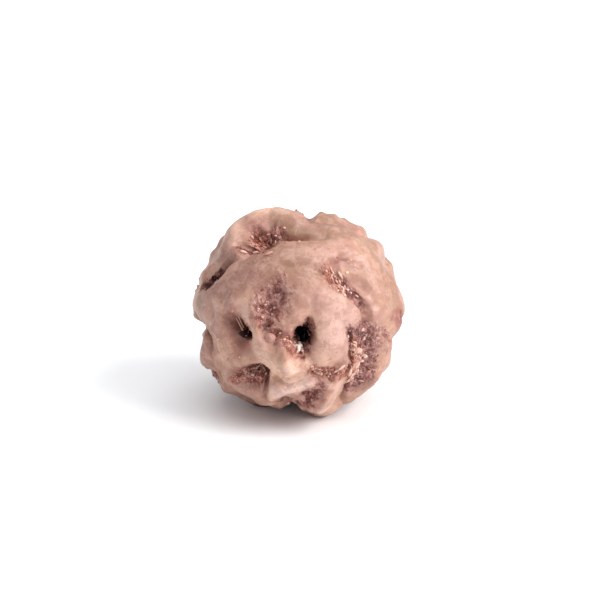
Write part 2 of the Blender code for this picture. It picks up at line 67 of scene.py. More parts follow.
# the relief's own dimensions, in millimetres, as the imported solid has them
SKIN_RADIUS = 9.3           # the ball that every height and depth is measured from
FRONT_TILT = 22.0           # the front map is seen from this many degrees above the horizon
FOLD_REACH = 1.85           # where a fold ends, in its half-widths
REST_HEIGHT = 9.3           # the middle's height above the table
FEET = [(2.3, -3.3, 1.05), (-3.7, -0.2, 1.2), (1.7, 4.1, 1.55)]   # x, y and half-width of the low points
FOOT_TRIM = 0.16            # how much of each foot is worn flat
ARCH = (4.4, 0.5)           # half-width and depth of the lift between the feet
CHANNEL_RADIUS = 0.62
MOUTH = (0.35, -2.25)       # where the channel comes out, on the front map
DRIFT = 0.2                 # how far the folds wander sideways
FACES = 5                   # the seed's natural faces, which furrows divide behind
FRONT_MAP_EDGE = -0.12      # cosine from the front map's viewer where the listed folds end
FRONT_WASH_EDGE = -0.02     # the same, for the listed colours
STRIDE = 0.19               # one step of a winding line, as a share of the ball's radius
SEED = 5
GROUND_REACH = 1.4          # where a stroke of rough ground ends, in its half-widths
WASH_REACH = 1.35           # where a stroke of colour ends, in its half-widths

# Folds seen from the front, each a crest of points: across, up, half-width, height over the ball. A
# point outside the outline lies as far round behind it.
FRONT_FOLDS = {
    "crown_rim": [(-6.7, 5.3, 1.3, 0.8), (-6.8, 6.6, 1.5, 1.1), (-6.2, 8.0, 1.6, 1.5), (-4.3, 9.3, 1.7, 1.5),
                  (-2.5, 9.6, 1.5, 1.25), (-0.9, 9.3, 1.2, 1.35)],
    "crown_back": [(-7.5, 7.2, 1.0, 0.95), (-8.1, 7.9, 1.1, 0.9), (-6.9, 8.9, 1.4, 1.2),
                   (-4.7, 10.3, 1.6, 1.0), (-2.4, 10.8, 1.3, 0.7)],
    "crown_cheek": [(-5.7, 7.2, 1.0, 0.8), (-5.6, 6.2, 0.9, 0.7), (-5.9, 5.4, 0.8, 0.55)],
    "temple": [(-8.3, 5.7, 0.8, 0.7), (-9.0, 6.0, 1.0, 0.65)],
    "left_band": [(-6.5, 5.5, 0.9, 0.7), (-7.4, 4.7, 0.9, 0.75), (-8.4, 3.9, 0.9, 0.6), (-9.3, 3.2, 0.9, 0.55)],
    "arch": [(-9.4, 1.6, 1.0, 0.4), (-7.8, 1.9, 1.2, 0.75), (-6.4, 2.9, 1.4, 0.85), (-4.8, 3.7, 1.4, 0.9),
             (-3.2, 4.3, 1.4, 0.95), (-1.2, 4.9, 1.5, 1.0), (0.8, 5.2, 1.5, 1.0), (2.8, 5.4, 1.5, 0.9),
             (4.6, 6.0, 1.6, 0.75)],
    "brow": [(-2.6, 3.2, 1.0, 0.55), (-0.8, 3.1, 1.0, 0.6), (0.8, 3.0, 1.0, 0.6), (1.8, 2.6, 0.9, 0.6)],
    "shoulder": [(3.6, 7.3, 1.6, 0.5), (5.2, 6.6, 1.8, 0.65), (6.7, 5.3, 2.0, 0.85), (7.5, 3.9, 1.7, 0.85),
                 (8.0, 2.3, 1.5, 0.8), (8.3, 0.6, 1.2, 0.7)],
    "shoulder_limb": [(7.4, 6.1, 0.9, 0.7), (8.2, 6.6, 1.0, 0.9), (9.2, 7.0, 1.2, 0.7)],
    "shoulder_back": [(5.9, 7.9, 0.8, 0.65), (6.8, 8.7, 1.0, 0.8)],
    "knob": [(1.8, 8.8, 0.8, 0.35), (3.4, 9.0, 1.0, 0.5), (4.0, 8.6, 0.9, 0.35), (3.8, 10.2, 1.1, 0.35)],
    "knob_lip": [(2.4, 7.7, 0.3, 0.2), (3.4, 7.6, 0.32, 0.35)],
    "saddle": [(1.0, 7.8, 0.9, 0.35), (2.2, 7.7, 0.8, 0.35), (3.3, 7.6, 1.0, 0.45)],
    "lobe": [(0.9, 1.9, 1.2, 0.7), (2.2, 1.5, 1.5, 0.85), (3.6, 0.8, 1.5, 0.85), (4.7, -0.2, 1.2, 0.75),
             (5.0, -1.0, 0.8, 0.55)],
    "lobe_root": [(0.1, 0.6, 1.2, 0.55), (-0.1, -0.6, 0.9, 0.65)],
    "disc": [(2.7, -0.6, 1.3, 0.75), (3.0, -2.0, 1.6, 0.85), (3.0, -3.4, 1.6, 0.9), (2.4, -4.2, 1.2, 0.8)],
    "beak": [(-3.4, -3.2, 1.1, 0.75), (-2.7, -4.0, 1.4, 1.0), (-1.9, -4.8, 1.3, 1.3), (-0.9, -5.2, 1.1, 1.4),
             (0.3, -5.4, 0.8, 1.05)],
    "beak_crest": [(-1.6, -3.0, 0.55, 0.85), (-1.35, -4.0, 0.6, 1.25), (-1.1, -4.9, 0.7, 1.6), (-0.9, -5.6, 0.65, 1.5)],
    "under_beak": [(0.8, -6.8, 0.9, 0.75), (-0.6, -7.15, 1.0, 1.05), (-1.7, -7.4, 0.9, 1.1),
                   (-2.4, -8.1, 0.65, 0.9), (-2.6, -8.75, 0.45, 0.7)],
    "keel": [(-2.65, -6.1, 0.3, 0.55), (-2.62, -7.0, 0.3, 0.7), (-2.55, -8.0, 0.3, 0.55)],
    "bridge": [(-4.8, 1.8, 1.3, 0.5), (-4.7, 0.4, 1.1, 0.55), (-4.1, -1.0, 0.8, 0.65), (-3.8, -2.2, 0.65, 0.7),
               (-3.5, -3.2, 0.8, 0.75)],
    "thin_rib": [(-2.9, -0.8, 0.3, 0.35), (-3.6, -1.8, 0.35, 0.5)],
    "mouth_brow": [(-2.0, -0.9, 0.9, 0.45), (-1.1, -1.2, 0.9, 0.55), (-0.8, -2.0, 0.7, 0.6)],
    "left_brow": [(-6.1, 1.6, 1.0, 0.65), (-6.2, 0.5, 0.9, 0.7)],
    "left_bulge": [(-8.6, 1.2, 0.9, 0.65), (-9.9, 0.9, 1.0, 0.7), (-11.0, 0.7, 1.1, 0.6)],
    "left_bulge_foot": [(-8.8, -0.1, 0.7, 0.5), (-9.9, 0.0, 0.6, 0.25)],
    "left_middle": [(-7.4, 1.2, 0.9, 0.55), (-7.3, -0.4, 0.9, 0.65)],
    "cheek": [(-7.9, -1.2, 0.7, 0.5), (-7.3, -2.0, 1.0, 0.7), (-6.7, -3.3, 1.3, 0.9), (-6.0, -4.3, 1.2, 0.85),
              (-4.9, -4.4, 1.0, 0.7)],
    "cheek_crest": [(-8.2, -1.4, 0.3, 0.5), (-7.5, -2.5, 0.35, 0.8), (-7.2, -3.45, 0.4, 0.9),
                    (-6.85, -4.4, 0.4, 0.9), (-6.15, -5.25, 0.45, 0.8)],
    "left_foot": [(-8.8, -2.9, 0.6, 0.45), (-9.1, -3.8, 0.8, 0.75), (-9.2, -4.9, 0.9, 1.1), (-8.5, -5.8, 0.8, 0.85),
                  (-9.6, -6.6, 1.0, 0.9)],
    "left_rib": [(-8.3, -3.9, 0.4, 0.5), (-8.0, -5.0, 0.45, 0.6), (-7.3, -6.1, 0.5, 0.5)],
    "lower_cheek": [(-7.2, -6.3, 0.9, 0.55), (-6.3, -6.4, 0.9, 0.6), (-5.9, -7.2, 1.1, 0.55),
                    (-4.8, -7.6, 1.2, 0.55), (-3.7, -7.8, 1.1, 0.55), (-3.6, -8.6, 0.9, 0.5)],
    "lower_limb": [(-7.9, -6.7, 0.8, 0.8), (-7.2, -7.7, 1.0, 1.15), (-6.3, -8.4, 1.0, 0.8), (-5.0, -9.0, 1.0, 0.65),
                   (-3.8, -9.6, 0.9, 0.65)],
    "tooth": [(3.3, -6.4, 1.0, 0.7), (2.9, -7.4, 1.1, 0.95), (2.5, -8.4, 1.05, 1.1), (2.1, -9.5, 0.9, 1.0)],
    "tooth_rib": [(0.3, -8.1, 0.45, 0.5), (0.9, -8.8, 0.5, 0.75), (1.5, -9.4, 0.5, 0.8)],
    "tooth_root": [(1.2, -6.7, 0.8, 0.5), (2.0, -6.6, 0.9, 0.55)],
    "strip": [(3.1, -5.8, 0.4, 0.35), (4.0, -5.4, 0.4, 0.4), (4.6, -4.8, 0.4, 0.4)],
    "right_limb": [(8.9, 3.0, 1.1, 0.85), (9.3, 1.9, 1.5, 0.95), (9.8, 0.3, 1.6, 1.05), (9.6, -0.8, 1.3, 0.9)],
    "terrace": [(6.9, 1.3, 0.9, 0.5), (7.3, 0.0, 1.0, 0.5), (7.8, -1.2, 0.9, 0.5)],
    "right_margin": [(8.3, -2.6, 0.8, 0.45), (8.6, -3.7, 0.9, 0.55), (8.1, -5.0, 0.9, 0.65), (7.3, -6.5, 1.0, 1.0),
                     (6.1, -7.6, 0.9, 0.6), (4.9, -8.5, 0.9, 0.6)],
}

# Hollows seen from the front, each a line of points: across, up, half-width, depth. The number before
# them is how steep the walls are: 2 is a soft dish, 5 a pit with an edge.
FRONT_HOLLOWS = {
    "mouth": (4, [(0.85, -0.8, 0.4, 0.7), (0.75, -1.5, 0.65, 1.7), (0.4, -2.2, 1.15, 3.4), (0.2, -2.65, 0.85, 2.4)]),
    "mouth_foot": (3, [(0.5, -3.0, 0.5, 1.0), (0.7, -3.6, 0.4, 0.45)]),
    "mouth_slope": (2, [(-0.4, -3.2, 0.9, 0.7), (0.1, -4.0, 0.7, 0.4)]),
    "mouth_hood": (2, [(0.4, -1.7, 1.3, 0.45)]),
    "crown_pit": (3, [(-3.7, 6.8, 1.0, 0.8), (-3.2, 6.5, 1.2, 1.2), (-2.75, 6.1, 0.9, 1.3)]),
    "crown_slot": (4, [(-5.3, 5.75, 0.2, 0.25), (-4.4, 5.8, 0.28, 0.6), (-3.4, 5.7, 0.4, 0.9)]),
    "brow_groove": (3, [(-2.3, 6.8, 0.6, 0.8), (-1.2, 6.85, 0.7, 1.1), (0.0, 6.95, 0.7, 0.9), (1.1, 6.9, 0.7, 0.55),
                        (2.2, 6.8, 0.7, 0.35)]),
    "brow_flank": (2, [(-0.6, 7.4, 1.2, 0.5), (0.5, 7.3, 1.1, 0.4), (2.3, 7.3, 0.8, 0.25)]),
    "crown_notch": (2, [(1.0, 8.3, 0.6, 0.3), (1.0, 8.9, 0.8, 0.65), (1.2, 9.6, 1.5, 1.4), (1.3, 10.4, 1.8, 1.5),
                        (1.4, 11.4, 1.3, 0.7)]),
    "slit": (4, [(-8.55, 2.15, 0.5, 1.5), (-7.75, 2.75, 0.5, 1.8), (-6.9, 3.45, 0.45, 1.5), (-6.15, 4.35, 0.45, 1.0),
                 (-5.6, 4.7, 0.35, 0.35)]),
    "slit_flank": (2, [(-8.2, 3.2, 0.8, 0.55), (-7.1, 4.2, 0.8, 0.65), (-6.2, 4.8, 0.7, 0.4)]),
    "slit_hole": (4, [(-8.05, 2.15, 0.45, 1.6), (-7.6, 2.5, 0.5, 1.9)]),
    "slit_hole_above": (4, [(-6.95, 3.05, 0.32, 1.4), (-6.7, 3.3, 0.3, 1.4)]),
    "middle_trough": (2, [(-1.8, 2.6, 0.9, 0.2), (-2.3, 1.6, 1.3, 0.4), (-2.7, 0.5, 1.4, 0.5),
                          (-2.8, -0.5, 1.1, 0.5), (-3.0, -1.4, 0.6, 0.5), (-3.1, -2.0, 0.45, 0.4)]),
    "right_trough": (3, [(3.0, 4.0, 0.7, 0.35), (3.4, 2.9, 0.9, 0.5), (4.3, 2.0, 0.8, 0.5), (5.3, 1.1, 0.8, 0.5),
                         (6.0, 0.2, 0.7, 0.45), (6.1, -0.9, 0.7, 0.35)]),
    "right_terrace": (2, [(5.0, 2.7, 0.9, 0.3), (6.0, 1.9, 0.9, 0.3), (6.7, 0.8, 0.8, 0.2)]),
    "dimple": (2, [(3.9, 4.8, 0.6, 0.35), (4.4, 4.9, 0.6, 0.25)]),
    "dimple_tail": (2, [(4.7, 4.4, 0.35, 0.2), (5.4, 4.0, 0.35, 0.2)]),
    "right_field": (3, [(5.2, -2.0, 0.8, 0.35), (6.1, -3.0, 1.4, 0.5), (6.2, -4.6, 1.5, 0.55),
                        (5.8, -6.0, 1.3, 0.45), (5.2, -7.0, 0.9, 0.3)]),
    "disc_edge": (3, [(4.5, -1.6, 0.4, 0.45), (4.9, -2.6, 0.5, 0.65), (4.9, -3.9, 0.45, 0.6), (4.8, -5.0, 0.4, 0.45),
                      (4.2, -5.8, 0.45, 0.5)]),
    "under_disc": (3, [(4.3, -4.6, 0.3, 0.3), (3.4, -5.1, 0.35, 0.35), (2.6, -5.6, 0.6, 0.65),
                       (1.3, -5.6, 0.55, 0.45)]),
    "left_eye": (5, [(-6.0, -0.95, 0.5, 0.7), (-5.5, -1.25, 0.6, 1.2), (-5.0, -1.75, 0.65, 2.4), (-4.6, -2.1, 0.6, 2.8)]),
    "left_eye_lid": (2, [(-6.2, -0.8, 1.1, 0.9), (-5.5, -1.1, 1.0, 1.0)]),
    "left_eye_fall": (2, [(-5.3, -2.7, 0.9, 0.5), (-5.4, -3.4, 0.8, 0.25)]),
    "lower_pit": (4, [(-5.2, -5.8, 0.6, 0.45), (-4.3, -5.55, 0.9, 1.3), (-3.4, -5.4, 0.75, 1.5)]),
    "lower_pit_hole": (5, [(-3.9, -5.35, 0.4, 1.3), (-3.8, -5.5, 0.35, 1.3)]),
    "lower_pit_hole_below": (5, [(-4.4, -5.9, 0.3, 1.0), (-4.2, -6.0, 0.3, 1.0)]),
    "lower_pit_holes_above": (5, [(-4.2, -4.8, 0.3, 1.0), (-3.4, -4.9, 0.35, 1.2), (-2.9, -5.2, 0.35, 1.4)]),
    "beak_edge": (3, [(-2.2, -5.9, 0.3, 0.3), (-1.6, -6.1, 0.3, 0.65), (-0.9, -6.25, 0.3, 0.75),
                      (0.0, -6.2, 0.3, 0.55), (0.8, -5.95, 0.3, 0.25)]),
    "lower_pit_fall": (2, [(-5.2, -6.4, 0.8, 0.4), (-3.9, -6.4, 0.9, 0.5)]),
    "lower_pit_edge": (3, [(-2.95, -5.7, 0.35, 0.8), (-3.0, -6.7, 0.3, 0.45), (-2.95, -7.6, 0.25, 0.3)]),
    "cheek_shade": (2, [(-4.25, -2.9, 0.4, 0.15), (-4.3, -4.2, 0.4, 0.15)]),
    "cheek_gap": (3, [(-8.45, -2.0, 0.35, 1.3), (-8.15, -2.8, 0.4, 1.9), (-7.95, -3.7, 0.4, 1.7),
                      (-7.6, -4.7, 0.38, 1.2), (-6.9, -5.7, 0.35, 0.6)]),
    "left_notch": (2, [(-8.8, -1.6, 0.6, 0.5), (-9.4, -1.25, 1.0, 1.0), (-10.6, -1.8, 1.3, 1.0)]),
    "lower_crease": (3, [(-6.9, -6.8, 0.25, 0.2), (-5.9, -6.9, 0.3, 0.25)]),
    "foot_gap": (3, [(-1.1, -8.2, 0.6, 0.35), (-0.7, -9.0, 1.0, 0.7), (-0.7, -9.9, 1.5, 1.25), (-0.9, -10.9, 1.6, 0.7)]),
    "tooth_gap": (3, [(0.5, -7.3, 0.3, 0.3), (0.9, -7.9, 0.3, 0.5), (1.4, -8.7, 0.3, 0.5)]),
    "tooth_edge": (3, [(4.5, -6.8, 0.35, 0.6), (4.1, -7.8, 0.4, 0.8), (3.7, -8.8, 0.4, 0.6)]),
    "tooth_dish": (2, [(1.6, -7.1, 0.9, 0.35), (2.4, -6.9, 0.6, 0.25)]),
    "right_dent": (2, [(8.8, -0.2, 0.45, 0.4), (9.05, -0.9, 0.45, 0.35)]),
    "right_notch": (2, [(8.8, -2.5, 0.7, 0.4), (9.3, -2.6, 1.0, 0.65), (10.4, -3.1, 1.3, 0.8)]),
    "shoulder_notch": (2, [(8.05, 4.65, 0.5, 0.35), (8.6, 4.9, 0.7, 0.5), (9.9, 5.3, 1.1, 0.8)]),
    "limb_crease": (3, [(7.5, 4.2, 0.3, 0.12), (7.9, 3.4, 0.3, 0.12)]),
    "knob_back": (2, [(1.9, 9.2, 0.7, 0.5), (2.5, 9.0, 0.8, 0.6), (2.6, 9.4, 1.0, 0.9), (2.8, 9.9, 1.0, 0.7)]),
    "knob_notch": (2, [(4.7, 8.1, 0.6, 0.4), (5.0, 8.8, 0.8, 0.75), (5.6, 9.8, 1.0, 0.7)]),
    "brow_crease": (3, [(-1.5, 3.7, 0.25, 0.12), (-0.2, 3.8, 0.25, 0.15), (1.2, 3.75, 0.25, 0.15),
                        (2.3, 3.1, 0.35, 0.2)]),
}

# Rough, crumbly ground seen from the front: how rusty it is (0 is mauve), then across, up, half-width,
# strength.
ROUGH_GROUND = {
    "crown_pit": (0.85, [(-4.0, 6.2, 0.5, 0.75), (-3.7, 6.9, 0.75, 0.8), (-3.2, 6.7, 1.0, 1.0), (-2.8, 6.1, 0.85, 1.0)]),
    "crown_slot": (0.6, [(-5.2, 5.5, 0.25, 0.6), (-4.4, 5.5, 0.35, 0.9), (-3.2, 5.5, 0.5, 0.9)]),
    "groove_end": (0.45, [(-2.3, 7.2, 0.7, 0.9), (-1.4, 7.0, 0.6, 0.7), (-0.4, 6.7, 0.4, 0.35)]),
    "slit": (0.45, [(-8.7, 2.3, 0.3, 0.9), (-7.9, 2.9, 0.35, 0.9), (-7.0, 3.6, 0.3, 0.8)]),
    "middle_trough": (0.35, [(-1.5, 2.9, 0.7, 0.55), (-2.0, 2.0, 1.1, 0.75), (-2.7, 0.8, 1.5, 0.9),
                             (-3.1, -0.2, 1.3, 0.9), (-3.0, -1.2, 0.6, 0.9)]),
    "middle_trough_side": (0.3, [(-0.9, 1.7, 0.9, 0.5), (-1.2, 0.4, 0.9, 0.5), (-1.9, -0.8, 0.7, 0.5)]),
    "arch_specks": (0.3, [(-4.6, 4.6, 0.5, 0.3), (-3.4, 4.5, 0.6, 0.35), (-2.6, 4.4, 0.5, 0.3)]),
    "arch_blotch": (0.5, [(-5.0, 3.2, 0.5, 0.3), (-4.2, 3.0, 0.5, 0.3)]),
    "mouth_left": (0.9, [(-2.1, -1.6, 0.4, 0.6), (-1.3, -2.1, 0.45, 0.7), (-0.7, -2.8, 0.5, 0.8),
                         (-0.1, -3.5, 0.55, 0.9), (0.35, -4.0, 0.35, 0.7)]),
    "mouth": (0.5, [(0.95, -0.8, 0.4, 0.9), (0.85, -1.5, 0.7, 1.0), (0.4, -2.4, 0.95, 1.0), (0.4, -3.3, 0.7, 1.0)]),
    "right_trough": (0.9, [(2.3, 3.7, 0.5, 0.7), (2.9, 3.1, 0.9, 0.9), (3.5, 2.4, 0.85, 0.9), (4.2, 1.8, 0.5, 0.9)]),
    "right_trough_foot": (0.1, [(4.3, 2.7, 0.6, 0.7), (5.0, 1.6, 0.7, 0.9), (5.7, 0.6, 0.6, 0.8), (6.0, -0.4, 0.4, 0.5)]),
    "dimple": (0.45, [(3.5, 4.6, 0.3, 0.45), (4.2, 4.6, 0.35, 0.35), (5.2, 3.9, 0.2, 0.35)]),
    "right_field": (0.0, [(5.3, -1.4, 0.8, 0.7), (6.4, -2.0, 1.2, 0.9), (6.6, -3.4, 1.45, 1.0), (6.3, -4.8, 1.4, 1.0),
                          (5.6, -6.0, 1.3, 1.0), (4.9, -7.0, 1.0, 1.0)]),
    "right_field_edge": (0.0, [(7.6, -1.6, 0.5, 0.6), (8.2, -2.6, 0.5, 0.55), (7.8, -3.4, 0.4, 0.4)]),
    "right_field_fibre": (1.0, [(5.2, -3.1, 0.8, 0.9), (5.8, -4.2, 1.2, 1.0), (5.4, -5.4, 1.1, 1.0)]),
    "disc_edge": (0.25, [(4.4, -1.4, 0.4, 0.8), (4.9, -2.4, 0.6, 1.0), (4.9, -3.6, 0.4, 1.0)]),
    "under_disc": (0.75, [(4.3, -5.4, 0.7, 0.9), (3.3, -5.6, 0.6, 0.9), (2.3, -5.4, 0.7, 0.9), (1.3, -5.2, 0.6, 0.9)]),
    "tooth_patch": (0.35, [(2.0, -6.5, 0.6, 0.7), (1.3, -7.1, 0.9, 1.0), (0.6, -7.8, 0.6, 0.9), (1.1, -8.3, 0.4, 0.9)]),
    "foot_gap": (0.3, [(-1.4, -8.2, 0.6, 0.9), (-0.6, -8.4, 0.8, 1.0), (0.2, -8.6, 0.6, 0.9)]),
    "lower_pit": (0.65, [(-5.9, -6.1, 0.5, 0.8), (-4.8, -6.0, 1.0, 1.0), (-3.7, -5.8, 0.95, 1.0), (-3.5, -6.5, 0.6, 0.9)]),
    "left_eye": (0.5, [(-5.4, -1.4, 0.5, 0.6), (-4.7, -2.0, 0.8, 1.0)]),
    "right_limb": (0.7, [(8.6, -0.1, 0.4, 0.5), (9.1, -0.8, 0.5, 0.7)]),
    "nodule_ring": (0.4, [(-2.0, -2.6, 0.3, 0.7), (-1.9, -2.0, 0.3, 0.7), (-2.5, -1.6, 0.35, 0.8)]),
}
